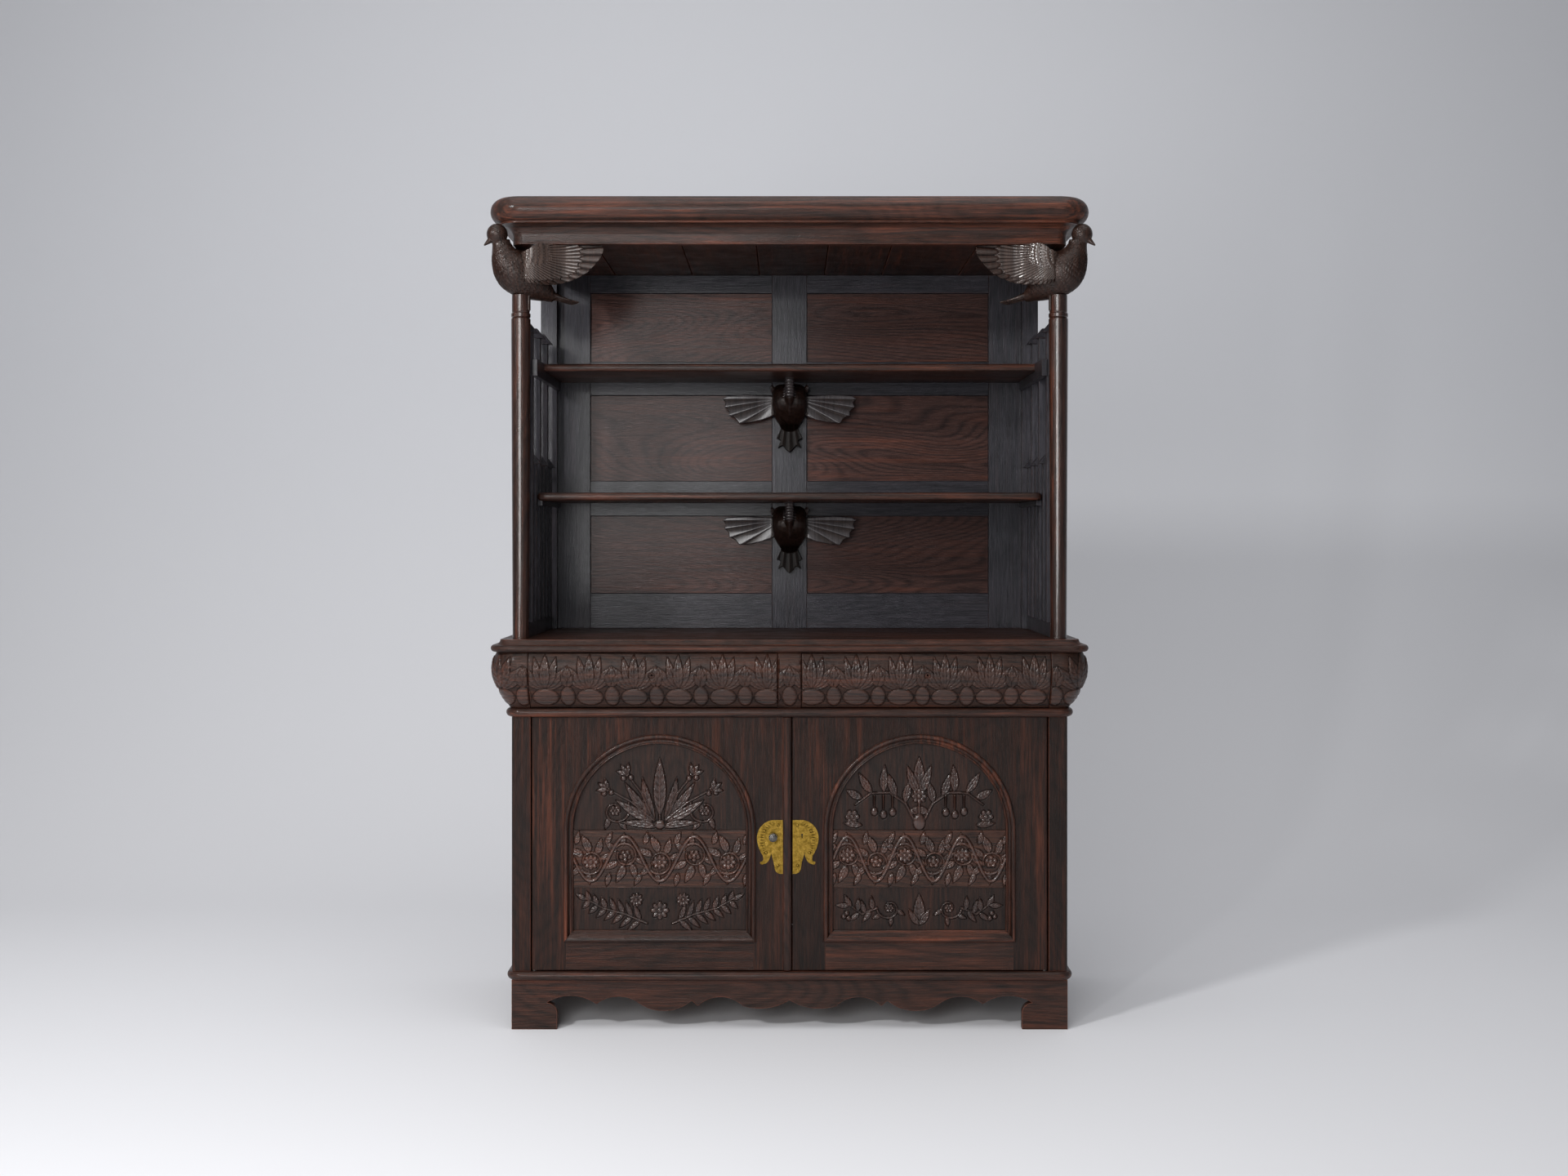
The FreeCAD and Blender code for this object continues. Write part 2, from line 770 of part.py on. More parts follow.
def drawer(side, name):
    gap = s.drawer_gap
    ends = (s.muntin_width / 2 + gap, drawer_outer - gap)
    low = z_frieze + s.drawer_foot_gap
    high = z_worktop - s.drawer_foot_gap
    key_x = keyhole_x * side
    key_z = z_frieze + s.drawer_keyhole_height
    blank = slab(name + "_drawer_blank", "YZ", both(ends, side), front_points(low, high))
    lock_wide = s.drawer_lock_width / 2
    lock_y = (front_inside - s.lock_case_thickness, front_inside)
    lock_z = (high - s.drawer_lock_height, high)
    pocket = box(name + "_drawer_lock_pocket", (key_x - lock_wide, key_x + lock_wide), lock_y, lock_z)
    hole = rod(name + "_drawer_keyhole", (key_x, key_z), s.keyhole_radius, "y",
               (front - s.overall_depth, lock_y[0] + s.plate_thickness))
    cut(name + "_drawer_front", blank, pocket, hole)
    bolt_wide = s.drawer_bolt_width / 2
    bolt_y = (lock_y[0] + s.plate_thickness * 2, lock_y[0] + s.plate_thickness * 2 + s.bolt_thickness)
    bolt_z = (high - s.drawer_lock_height + s.drawer_bolt_throw, high - s.bolt_fit)
    room = box(name + "_drawer_lock_room",
               (key_x - bolt_wide - s.bolt_fit, key_x + bolt_wide + s.bolt_fit),
               (bolt_y[0] - s.bolt_fit, bolt_y[1] + s.bolt_fit), (bolt_z[0] - s.bolt_fit, high + s.bolt_throw))
    case = box(name + "_drawer_lock_blank", (key_x - lock_wide, key_x + lock_wide), lock_y, lock_z)
    key = rod(name + "_drawer_lock_key_way", (key_x, key_z), s.keyhole_radius, "y",
              (front - s.overall_depth, bolt_y[0]))
    cut(name + "_drawer_lock", case, room, key)
    box(name + "_drawer_bolt", (key_x - bolt_wide, key_x + bolt_wide), bolt_y, bolt_z)
    thick = s.drawer_side_thickness
    run = z_frieze + s.run_gap
    top = run + s.drawer_side_height
    tail = back_inside - s.drawer_back_gap
    wall = [box("%s_drawer_side_%d" % (name, number), both(x, side), (front_inside, tail), (run, top))
            for number, x in enumerate(((ends[0], ends[0] + thick), (ends[1] - thick, ends[1])), 1)]
    across = both((ends[0] + thick, ends[1] - thick), side)
    rise = run + s.drawer_bottom_rise
    wall.append(box(name + "_drawer_back", across, (tail - thick, tail), (rise, top)))
    wall.append(box(name + "_drawer_bottom", across, (front_inside, tail - thick),
                    (rise, rise + s.drawer_bottom_thickness)))
    group(name + "_drawer_box", *wall)


# Worktop

def worktop():
    over = s.worktop_overhang
    bead = z_worktop + s.worktop_bead_height
    nose = over - s.worktop_bead_nose
    inner = over - s.worktop_strip_width
    top = over - s.worktop_top_setback
    step = nose - s.worktop_bead_nose
    edge = moulding("worktop_edge", [
        (inner, z_worktop), (nose, z_worktop), (nose, bead, s.worktop_bead_nose), (step, bead),
        (top, z_hutch, -s.worktop_bead_nose / 4), (inner, z_hutch)])
    wide = half_width + inner + s.worktop_bead_nose
    board = box("worktop_board", (-wide, wide), (front - inner - s.worktop_bead_nose, back),
                (z_worktop, z_hutch))
    slots = []
    for side, name in ((-1, "left"), (1, "right")):
        key_x = keyhole_x * side
        bolt_wide = s.drawer_bolt_width / 2 + s.bolt_fit
        low = front_inside - s.lock_case_thickness + s.plate_thickness * 2 - s.bolt_fit
        slots.append(box(name + "_drawer_mortise", (key_x - bolt_wide, key_x + bolt_wide),
                         (low, low + s.bolt_thickness + s.bolt_fit * 2),
                         (z_worktop - s.bolt_throw, z_worktop + s.drawer_bolt_throw)))
    cut("worktop", joined("worktop_glued", edge, board), *slots)


# Doors

def arch_half(name, centre, side, outer, inner, y):
    """Half of an arch between two radii."""
    base = z_springing
    return slab(name, "XZ", y, [
        (centre + outer * side, base), (centre, base + outer, -quarter_bow(outer) * side),
        (centre, base + inner), (centre + inner * side, base, quarter_bow(inner) * side)])


def door_mouldings(name, centre):
    base = z_springing
    outer, inner = s.moulding_outer, s.moulding_inner
    lap = outer - s.moulding_lap
    sill_low = z_case + s.sill_height
    sill_high = sill_low + s.sill_depth
    lap_low = sill_low + s.moulding_lap * s.sill_depth / (outer - inner)
    on_face = (front - s.moulding_proud, front)
    within = (front, front + s.panel_setback)
    pieces = []
    for side, word in ((-1, "left"), (1, "right")):
        start = "%s_%s_" % (name, word)
        pieces.append(joined(start + "arch", arch_half(start + "arch_face", centre, side, outer, inner, on_face),
                             arch_half(start + "arch_lip", centre, side, outer - s.arch_lap, inner, within)))
        layers = []
        for layer, edge, low, y in (("face", outer, sill_low, on_face), ("lip", lap, lap_low, within)):
            layers.append(slab(start + "strip_" + layer, "XZ", y, [
                (centre + edge * side, base), (centre + edge * side, low),
                (centre + inner * side, sill_high), (centre + inner * side, base)]))
        pieces.append(joined(start + "strip", *layers))
    layers = []
    for layer, edge, low, y in (("face", outer, sill_low, on_face), ("lip", lap, lap_low, within)):
        layers.append(slab("%s_sill_%s" % (name, layer), "XZ", y, [
            (centre - edge, low), (centre + edge, low), (centre + inner, sill_high),
            (centre - inner, sill_high)]))
    pieces.append(joined(name + "_sill", *layers))
    group(name + "_door_mouldings", *pieces)


def door_panels(name, centre):
    base = z_springing
    y = (front + s.panel_setback, front + s.panel_setback + s.panel_thickness)
    radius = s.moulding_outer - s.arch_lap - s.fixed_gap
    edge = s.moulding_outer - s.moulding_lap - s.fixed_gap
    sill_low = z_case + s.sill_height
    low = sill_low + s.moulding_lap * s.sill_depth / (s.moulding_outer - s.moulding_inner) + s.fixed_gap
    joint = base - s.middle_board_height
    bow = quarter_bow(radius)
    tympanum = slab(name + "_tympanum", "XZ", y, [
        (centre - radius, base, -bow), (centre + radius, base), (centre, base + radius, -bow)])
    board = box(name + "_middle_board_blank", (centre - edge, centre + edge), y, (joint, base))
    field = s.moulding_inner - s.fixed_gap
    raised = box(name + "_middle_board_field", (centre - field, centre + field),
                 (y[0] - s.middle_board_proud, y[0]), (joint, base))
    middle = joined(name + "_middle_board", board, raised)
    lower = box(name + "_lower_board", (centre - edge, centre + edge), y, (low, joint))
    group(name + "_door_panels", tympanum, middle, lower)


def plate_place(side, share_out, share_up):
    """A place on a brass plate from its shares away from the meeting edge and up."""
    edge = s.left_meeting_edge if side < 0 else door_meeting(1)
    low = z_case + s.plate_top_height - s.plate_height
    return (edge + s.plate_width * share_out) * side, low + s.plate_height * share_up


def door_meeting(side):
    """Distance of a door's meeting edge from the middle."""
    return s.left_meeting_edge if side < 0 else s.astragal_width - s.left_meeting_edge + s.meeting_gap


def lock_plate(name, side, holes):
    y = (front - s.plate_thickness, front)
    points = []
    for out, up, bow in PLATE_SHARES:
        points.append((*plate_place(side, out, up), s.plate_height * bow * side))
    plate = cut(name + "_plate", slab(name + "_plate_blank", "XZ", y, points), *holes)
    nails = []
    for number, (out, up) in enumerate(NAIL_SHARES, 1):
        x, z = plate_place(side, out, up)
        nails.append(rod("%s_nail_%d" % (name, number), (x, z), s.nail_radius, "y",
                         (y[0] - s.nail_head, y[0])))
    group(name + "_lock_plate", plate, *nails)


def door(name, side):
    centre = arch_x * side
    low, high = z_case + s.door_end_gap, z_waist - s.door_end_gap + s.door_edge_gap
    depth = (front, front + s.door_thickness)
    outer_edge = post_inside - s.door_edge_gap
    meeting = door_meeting(side)
    lap = s.moulding_outer - s.moulding_lap
    near, far = arch_x - lap, arch_x + lap
    base = z_springing
    sill_low = z_case + s.sill_height
    rail_top = sill_low + s.moulding_lap * s.sill_depth / (s.moulding_outer - s.moulding_inner)
    radius = s.pivot_inset
    bow = quarter_bow(radius) * side
    round_edge = [(outer_edge * side, depth[1]), (far * side, depth[1]), (far * side, depth[0]),
                  ((outer_edge - radius) * side, depth[0]),
                  (outer_edge * side, depth[0] + radius, -bow)]
    outer_blank = slab(name + "_outer_stile_blank", "XY", (low, high), round_edge)
    seat_x, seat_y = pivot_place(side)
    seats = [rod("%s_seat_%s" % (name, word), (seat_x, seat_y), s.pivot_radius + s.seat_fit, "z", ends)
             for word, ends in (("low", (z_case, low + s.pivot_seat)), ("high", (high - s.pivot_seat, z_waist)))]
    outer_stile = cut(name + "_outer_stile", outer_blank, *seats)
    inner_blank = box(name + "_inner_stile_blank", both((meeting, near), side), depth, (low, high))
    rail = box(name + "_bottom_rail", both((near, far), side), depth, (low, rail_top))
    arch = s.moulding_outer - s.arch_lap
    head = slab(name + "_arched_head", "XZ", depth, [
        (centre - lap, base), (centre - arch, base), (centre, base + arch, quarter_bow(arch)),
        (centre + arch, base, quarter_bow(arch)), (centre + lap, base),
        (centre + lap, high), (centre - lap, high)])
    lock_z = z_case + s.lock_height
    if side < 0:
        knob_x = -(meeting + s.knob_from_edge)
        bore = rod("left_spindle_bore", (knob_x, lock_z), s.spindle_radius + s.spindle_fit, "y",
                   (front - s.knob_length, depth[1] + s.cam_standoff))
        inner_stile = cut(name + "_inner_stile", inner_blank, bore)
        holes = [rod("left_plate_hole", (knob_x, lock_z), s.spindle_radius + s.spindle_fit, "y",
                     (front - s.knob_length, depth[1] + s.cam_standoff))]
    else:
        inner_stile, holes = right_lock(inner_blank, meeting, depth, lock_z)
    group(name + "_door_frame", outer_stile, inner_stile, rail, head)
    door_mouldings(name, centre)
    door_panels(name, centre)
    lock_plate(name, side, holes)
    pins = []
    deep = s.pivot_depth
    gap = s.door_end_gap - s.fixed_gap
    for word, pin_ends, collar in (("low", (z_case - deep, low + s.pivot_seat), (low - gap, low)),
                                   ("high", (high - s.pivot_seat, z_waist + deep), None)):
        bar = rod("%s_pin_%s_bar" % (name, word), (seat_x, seat_y), s.pivot_radius, "z", pin_ends)
        if collar is None:
            pins.append(bar)
        else:
            washer = rod("%s_pin_collar" % name, (seat_x, seat_y), s.washer_radius, "z", collar)
            pins.append(joined("%s_pin_%s" % (name, word), bar, washer))
    group(name + "_door_pins", *pins)


def right_lock(inner_blank, meeting, depth, lock_z):
    """Cuts the right door's inner stile for its lock and makes the lock and its bolt."""
    key_x = meeting + s.keyhole_from_edge
    case_x = (meeting + s.plate_thickness, meeting + s.lock_case_width)
    case_y = (depth[1] - s.lock_case_thickness, depth[1])
    half_case = s.lock_case_height / 2
    case_z = (lock_z - half_case, lock_z + half_case)
    half_bolt = s.bolt_height / 2
    bolt_y = (case_y[0] + s.plate_thickness, case_y[0] + s.plate_thickness + s.bolt_thickness)
    fit = s.bolt_fit
    bolt_x = (meeting + fit, meeting + fit + s.bolt_length)
    way = (bolt_y[0] - fit, bolt_y[1] + fit)
    way_z = (lock_z - half_bolt - fit, lock_z + half_bolt + fit)
    pocket = box("right_lock_pocket", case_x, case_y, case_z)
    channel = box("right_bolt_channel", (meeting - fit, case_x[1]), way, way_z)

    def key_way(name, y):
        barrel = rod(name + "_barrel", (key_x, lock_z + s.keyhole_slot / 2), s.keyhole_radius, "y", y)
        slot = box(name + "_slot", (key_x - s.keyhole_slot_width / 2, key_x + s.keyhole_slot_width / 2), y,
                   (lock_z - s.keyhole_slot / 2, lock_z + s.keyhole_slot / 2))
        return joined(name, barrel, slot)

    through = (front - s.knob_length, case_y[0] + fit)
    stile = cut("right_inner_stile", inner_blank, pocket, channel, key_way("right_stile_key_way", through))
    case = box("right_lock_case_blank", case_x, case_y, case_z)
    room = box("right_bolt_room", (meeting - fit, bolt_x[1] + fit), way, way_z)
    cut("right_door_lock", case, room)
    box("right_door_bolt", bolt_x, bolt_y, (lock_z - half_bolt, lock_z + half_bolt))
    return stile, [key_way("right_plate_key_way", through)]


def astragal():
    """Rounded strip on the left door's meeting edge, with the mortise that takes the bolt."""
    low, high = z_case + s.door_end_gap, z_waist - s.door_end_gap + s.door_edge_gap
    left = -s.left_meeting_edge
    right = left + s.astragal_width
    deep = front + s.door_thickness
    outline = [(left, deep), (left, front), (right, front, -s.astragal_proud), (right, deep)]
    blank = slab("astragal_blank", "XY", (low, high), outline)
    lock_z = z_case + s.lock_height
    half_bolt = s.bolt_height / 2 + s.bolt_fit
    bolt_low = deep - s.lock_case_thickness + s.plate_thickness - s.bolt_fit
    mortise = box("astragal_mortise", (right - s.bolt_throw, right + s.bolt_throw),
                  (bolt_low, bolt_low + s.bolt_thickness + s.bolt_fit * 2), (lock_z - half_bolt, lock_z + half_bolt))
    cut("astragal", blank, mortise)


def latch():
    """Knob, spindle and cam on the left door, and the keeper on the inner shelf."""
    x = -(s.left_meeting_edge + s.knob_from_edge)
    z = z_case + s.lock_height
    back_face = front + s.door_thickness
    cam = (back_face + s.cam_standoff, back_face + s.cam_standoff + s.cam_thickness)
    stem_end = front - s.plate_thickness - s.knob_stem
    spindle = rod("latch_spindle", (x, z), s.spindle_radius, "y", (stem_end, cam[0]))
    knob = rod("latch_knob_head", (x, z), s.knob_radius, "y", (stem_end - s.knob_length, stem_end))
    half = s.cam_width / 2
    bar = box("latch_cam_bar", (x - half, x + half), cam, (z - half, z - half + s.cam_length))
    joined("latch_knob", spindle, knob, bar)
    shelf_top = z_case + s.inner_shelf_height
    lip_y = (cam[0] - s.keeper_gap - s.keeper_thickness, cam[0] - s.keeper_gap)
    lip_x = (x - s.cam_length + half, x - s.cam_length + half + s.keeper_width)
    shelf_front = front + s.inner_shelf_setback
    lip = box("keeper_lip", lip_x, lip_y, (shelf_top, shelf_top + s.keeper_rise))
    foot = box("keeper_foot", lip_x, (lip_y[0], shelf_front + s.keeper_width),
               (shelf_top, shelf_top + s.keeper_thickness))
    joined("latch_keeper", lip, foot)


# Hutch

def columns():
    foot, top = s.column_foot_radius, s.column_top_radius
    shaft = z_shaft
    ring = shaft + s.column_ring_height
    groove = s.bead_flat / 2
    outline = [(0, z_hutch), (foot, z_hutch), (top, shaft), (top - groove, shaft + groove),
               (top, shaft + groove * 2), (top, ring - groove * 2), (top - groove, ring - groove),
               (s.perch_radius, ring), (s.perch_radius, z_perch), (0, z_perch)]
    for name, side in (("left_column", -1), ("right_column", 1)):
        turned(name, column_x * side, column_y, outline)


def gallery():
    """Side rails, slats with roof-shaped caps, shelf bearers and rear posts."""
    rear = (back - s.board_thickness - s.hutch_post_depth, back - s.board_thickness)
    posts = [box("hutch_post_%d" % side, both((hutch_inner, hutch_outer), side), rear,
                 (z_hutch, z_fascia)) for side in (-1, 1)]
    group("hutch_rear_posts", *posts)
    middle = slat_face + s.slat_width / 2
    run = (column_y + s.column_foot_radius + s.fixed_gap, rear[0])
    half_rail = s.gallery_rail_width / 2
    rails = []
    for side in (-1, 1):
        rails.append(box("gallery_rail_%d" % side, both((middle - half_rail, middle + half_rail), side), run,
                         (z_hutch, z_hutch + s.gallery_rail_height)))
    bearers = []
    housing_x = (slat_face - s.bearer_width - s.shelf_housing, slat_face - s.bearer_width
                 + s.shelf_housing)
    for side in (-1, 1):
        for word, top in (("upper", z_hutch + s.upper_shelf_top), ("lower", z_hutch + s.lower_shelf_top)):
            x = both((slat_face - s.bearer_width, slat_face), side)
            name = "%s_bearer_%d" % (word, side)
            if word == "upper":
                rail = box(name + "_blank", x, (column_y + s.column_top_radius, rear[0]),
                           (top - s.bearer_height, top))
                housing = box(name + "_housing", both(housing_x, side),
                              (front + s.upper_shelf_front, rear[1]), (top - s.shelf_thickness, top))
                bearers.append(cut(name, rail, housing))
            else:
                bearers.append(box(name, x, (front + s.lower_shelf_front + s.shelf_corner_radius, rear[0]),
                                   (top - s.shelf_thickness - s.bearer_width, top - s.shelf_thickness)))
    group("gallery_rails", *rails, *bearers)
    pitch = (rear[0] - column_y - s.slat_first - s.slat_last) / (len(SLAT_ORDER) - 1)
    for name, side in (("left_slats", -1), ("right_slats", 1)):
        slats = []
        for number, kind in enumerate(SLAT_ORDER):
            top = z_shaft - s.tall_slat_drop if kind == "tall" else z_hutch + s.short_slat_top
            y = column_y + s.slat_first + pitch * number
            half = s.slat_thickness / 2
            bar = box("%s_%d_bar" % (name, number + 1),
                      both((slat_face, slat_face + s.slat_width), side),
                      (y - half, y + half), (z_hutch + s.gallery_rail_height, top))
            slats.append(joined("%s_%d" % (name, number + 1), bar,
                                slat_cap("%s_%d_cap" % (name, number + 1), middle * side, y, top)))
        group(name, *slats)


def slat_cap(name, x, y, z):
    """A low truncated pyramid."""
    cap = named("Part::Wedge", name)
    cap.Placement = FreeCAD.Placement(FreeCAD.Vector(), FreeCAD.Rotation(FreeCAD.Vector(1, 0, 0), 90))
    for corner, size in (("x", x), ("y", y), ("z", z)):
        cap.setExpression("Placement.Base." + corner, size_of(size).formula)
    wide, deep = s.cap_half_width, s.cap_half_depth
    top_wide, top_deep = s.cap_top_half_width, s.cap_top_half_depth
    for field, size in (("Xmin", -wide), ("Xmax", wide), ("Zmin", -deep), ("Zmax", deep), ("Ymin", size_of(0)),
                        ("Ymax", s.cap_height), ("X2min", -top_wide), ("X2max", top_wide),
                        ("Z2min", -top_deep), ("Z2max", top_deep)):
        cap.setExpression(field, size.formula)
    return cap


def shelf(name, front_line, half_length, top, corner):
    """A shelf with a rounded nose and, where it stands free, rounded front corners."""
    low = top - s.shelf_thickness
    rear = back - s.board_thickness
    post = rear - s.hutch_post_depth
    notch = hutch_inner - s.fixed_gap
    if corner.number:
        bow = quarter_bow(corner)
        ends = [(-half_length, front_line + corner), (-half_length + corner, front_line, -bow),
                (half_length - corner, front_line), (half_length, front_line + corner, -bow)]
    else:
        ends = [(-half_length, front_line), (half_length, front_line)]
    outline = ends + [(half_length, post), (notch, post), (notch, rear), (-notch, rear), (-notch, post),
                      (-half_length, post)]
    if half_length.number < notch.number:
        outline = ends + [(half_length, rear), (-half_length, rear)]
    body = slab(name, "XY", (low, top), outline)
    doc.recompute()
    pad = body.Tip
    nose = []
    for number, edge in enumerate(pad.Shape.Edges, 1):
        box_of = edge.BoundBox
        flat = box_of.ZLength < s.seat_fit.number
        if flat and box_of.YMax <= front_line.number + corner.number + s.seat_fit.number:
            nose.append("Edge%d" % number)
    rounding = body.newObject("PartDesign::Fillet", name + "_nose")
    rounding.Base = (pad, nose)
    rounding.setExpression("Radius", (s.shelf_thickness / 2 - s.bead_flat / 4).formula)
    return body


def shelves():
    housed = slat_face - s.bearer_width + s.shelf_housing - s.fixed_gap
    shelf("upper_shelf", front + s.upper_shelf_front, housed, z_hutch + s.upper_shelf_top, size_of(0))
    free = slat_face - s.fixed_gap
    shelf("lower_shelf", front + s.lower_shelf_front, free, z_hutch + s.lower_shelf_top, s.shelf_corner_radius)


def hutch_back():
    y = (back - s.board_thickness, back)
    outer, inner = hutch_outer, hutch_outer - s.back_stile_width
    middle = s.back_muntin_width / 2
    whole = (z_hutch, z_fascia)
    frame = [box("back_stile_left", (-outer, -inner), y, whole), box("back_stile_right", (inner, outer), y, whole),
             box("back_muntin", (-middle, middle), y, whole)]
    levels = ((z_hutch, z_hutch + s.back_bottom_rail_high),
              (z_hutch + s.back_lower_rail_low, z_hutch + s.back_lower_rail_high),
              (z_hutch + s.back_upper_rail_low, z_hutch + s.back_upper_rail_high),
              (z_hutch + s.back_top_rail_low, z_fascia))
    panels = []
    set_in = (y[0] + s.back_panel_setback, y[0] + s.back_panel_setback + s.panel_thickness)
    for side in (-1, 1):
        x = both((middle, inner), side)
        for number, z in enumerate(levels, 1):
            frame.append(box("back_rail_%d_%d" % (number, side), x, y, z))
        for number, (below, above) in enumerate(zip(levels, levels[1:]), 1):
            panels.append(box("back_panel_%d_%d" % (number, side), x, set_in, (below[1], above[0])))
    group("hutch_back_frame", *frame)
    group("hutch_back_panels", *panels)


# Cornice

def cornice():
    cove_low = z_fascia + s.fascia_height
    cove_high = cove_low + s.cove_height
    torus_low = cove_high + s.fillet_height
    torus = s.cornice_overhang - s.fillet_reach
    moulding("cornice_moulding", [
        (-s.cornice_wall, z_fascia), (0, z_fascia), (0, cove_low), (s.cove_reach, cove_high, -s.cove_hollow),
        (s.fillet_reach, cove_high), (s.fillet_reach, torus_low), (s.fillet_reach, z_roof, torus),
        (-s.cornice_wall, z_roof)])
    wall = half_width - s.cornice_wall
    line = front + s.cornice_wall
    top = box("cornice_top_blank", (-wall, wall), (line, back), (z_roof - s.board_thickness, z_roof))
    radius = s.strip_inner_radius
    nicks = []
    for side in (-1, 1):
        nicks.append(box("cornice_top_nick_%d" % side, both((wall - radius, wall + radius), side),
                         (line - radius, line + radius), (z_roof - s.board_thickness * 2, z_roof + radius)))
    boards = [cut("cornice_top", top, *nicks)]
    joints = [-wall] + [half_width * share for share in SOFFIT_SHARES] + [wall]
    half_gap = s.soffit_gap / 2
    for number, (left, right) in enumerate(zip(joints, joints[1:])):
        low = left + (half_gap if number else s.seat_fit)
        high = right - (half_gap if number < len(joints) - 2 else s.seat_fit)
        setback = line if 0 < number < len(joints) - 2 else line + radius
        boards.append(box("soffit_board_%d" % (number + 1), (low, high), (setback, back),
                          (z_fascia, z_fascia + s.soffit_thickness)))
    boards.append(box("cornice_back_rail", (-wall, wall), (back - s.board_thickness, back),
                      (z_fascia + s.soffit_thickness, z_roof - s.board_thickness)))
    group("cornice_boards", *boards)


# Birds

def oval(centre, normal, aside, half_width_number, half_height_number):
    """Closed oval across a direction."""
    up = normal.cross(aside)
    long_side = half_width_number >= half_height_number
    major, minor = max(half_width_number, half_height_number), min(half_width_number, half_height_number)
    direction = aside if long_side else up
    if abs(major - minor) < s.seat_fit.number:
        curve = Part.Circle(centre, normal, major)
    else:
        other = normal.cross(direction)
        curve = Part.Ellipse(centre + direction * major, centre + other * minor, centre)
    return Part.Wire(curve.toShape())


def lofted(sections):
    return Part.makeLoft(sections, True, False)


def column_bird(name, side):
    """A bird that looks outward from the top of a column, with its wings along the cornice."""
    length = s.bird_length.number
    turn = math.radians(s.bird_turn.number)
    ahead = FreeCAD.Vector(math.cos(turn) * side, -math.sin(turn), 0)
    up = FreeCAD.Vector(0, 0, 1)
    aside = up.cross(ahead)
    origin = vector(column_x * side, column_y, z_perch)

    def place(forward, rise, out=0):
        return origin + (ahead * forward + up * rise + aside * out) * length

    def sections(table):
        rings = []
        for forward, rise, wide, thick, lean in table:
            angle = math.radians(-lean)
            normal = ahead * math.cos(angle) + up * math.sin(angle)
            rings.append(oval(place(forward, rise), normal, aside, wide * length, thick * length))
        return rings

    head_forward, head_rise, head_radius = HEAD_SHARES
    beak_forward, beak_rise, beak_radius = BEAK_SHARES
    head_centre = place(head_forward, head_rise)
    head = Part.makeSphere(head_radius * length, head_centre)
    tip = place(beak_forward, beak_rise)
    beak_line = tip - head_centre
    beak = Part.makeCone(beak_radius * length * 2, beak_radius * length / 4, beak_line.Length, head_centre,
                         beak_line)
    solid = lofted(sections(BIRD_SHARES)).fuse([lofted(sections(TAIL_SHARES)), head, beak])
    radius, drop = s.leg_radius.number, s.leg_drop.number
    for spread in (-1, 1):
        angle = math.radians(s.leg_spread.number) * spread
        around = ahead * -math.cos(angle) + aside * math.sin(angle)
        low = origin + around * s.perch_radius.number - up * drop
        solid = solid.fuse(Part.makeCylinder(radius, drop + radius * 2, low, up))
    perch = Part.makeCylinder(s.perch_radius.number + s.seat_fit.number, s.perch_height.number * 2,
                              origin - up * s.perch_height.number * 2, up)
    fascia = Part.makeBox(s.body_width.number * 2, s.overall_depth.number, s.cornice_height.number,
                          FreeCAD.Vector(-s.body_width.number, front.number, z_fascia.number))
    doc.recompute()
    solid = solid.cut(perch).cut(fascia).cut(doc.getObject("cornice_moulding").Shape)
    solid = max(solid.Solids, key=lambda part: part.Volume)
    modelled(name + "_bird_body", solid)
    wings = []
    near_x = (half_width - s.wing_start) * side
    near_y = front + s.wing_start
    line = s.wing_line
    thick = s.wing_thickness.number
    for along_front in (True, False):
        corners = []
        for out, down in WING_SHARES:
            reach = s.wing_span * out
            fall = z_fascia - s.wing_drop * down - s.seat_fit
            if along_front:
                corners.append(vector(near_x - reach * side, near_y + line - s.wing_start, fall))
            else:
                corners.append(vector(near_x - (line - s.wing_start) * side, near_y + reach, fall))
        wire = Part.makePolygon(corners + corners[:1])
        push = FreeCAD.Vector(0, thick, 0) if along_front else FreeCAD.Vector(-thick * side, 0, 0)
        wings.append(Part.Face(wire).extrude(push))
    whole = wings[0].fuse(wings[1]).cut(solid).removeSplitter()
    pieces = [part for part in whole.Solids if part.Volume > thick ** 3]
    modelled(name + "_bird_wings", Part.makeCompound(pieces))


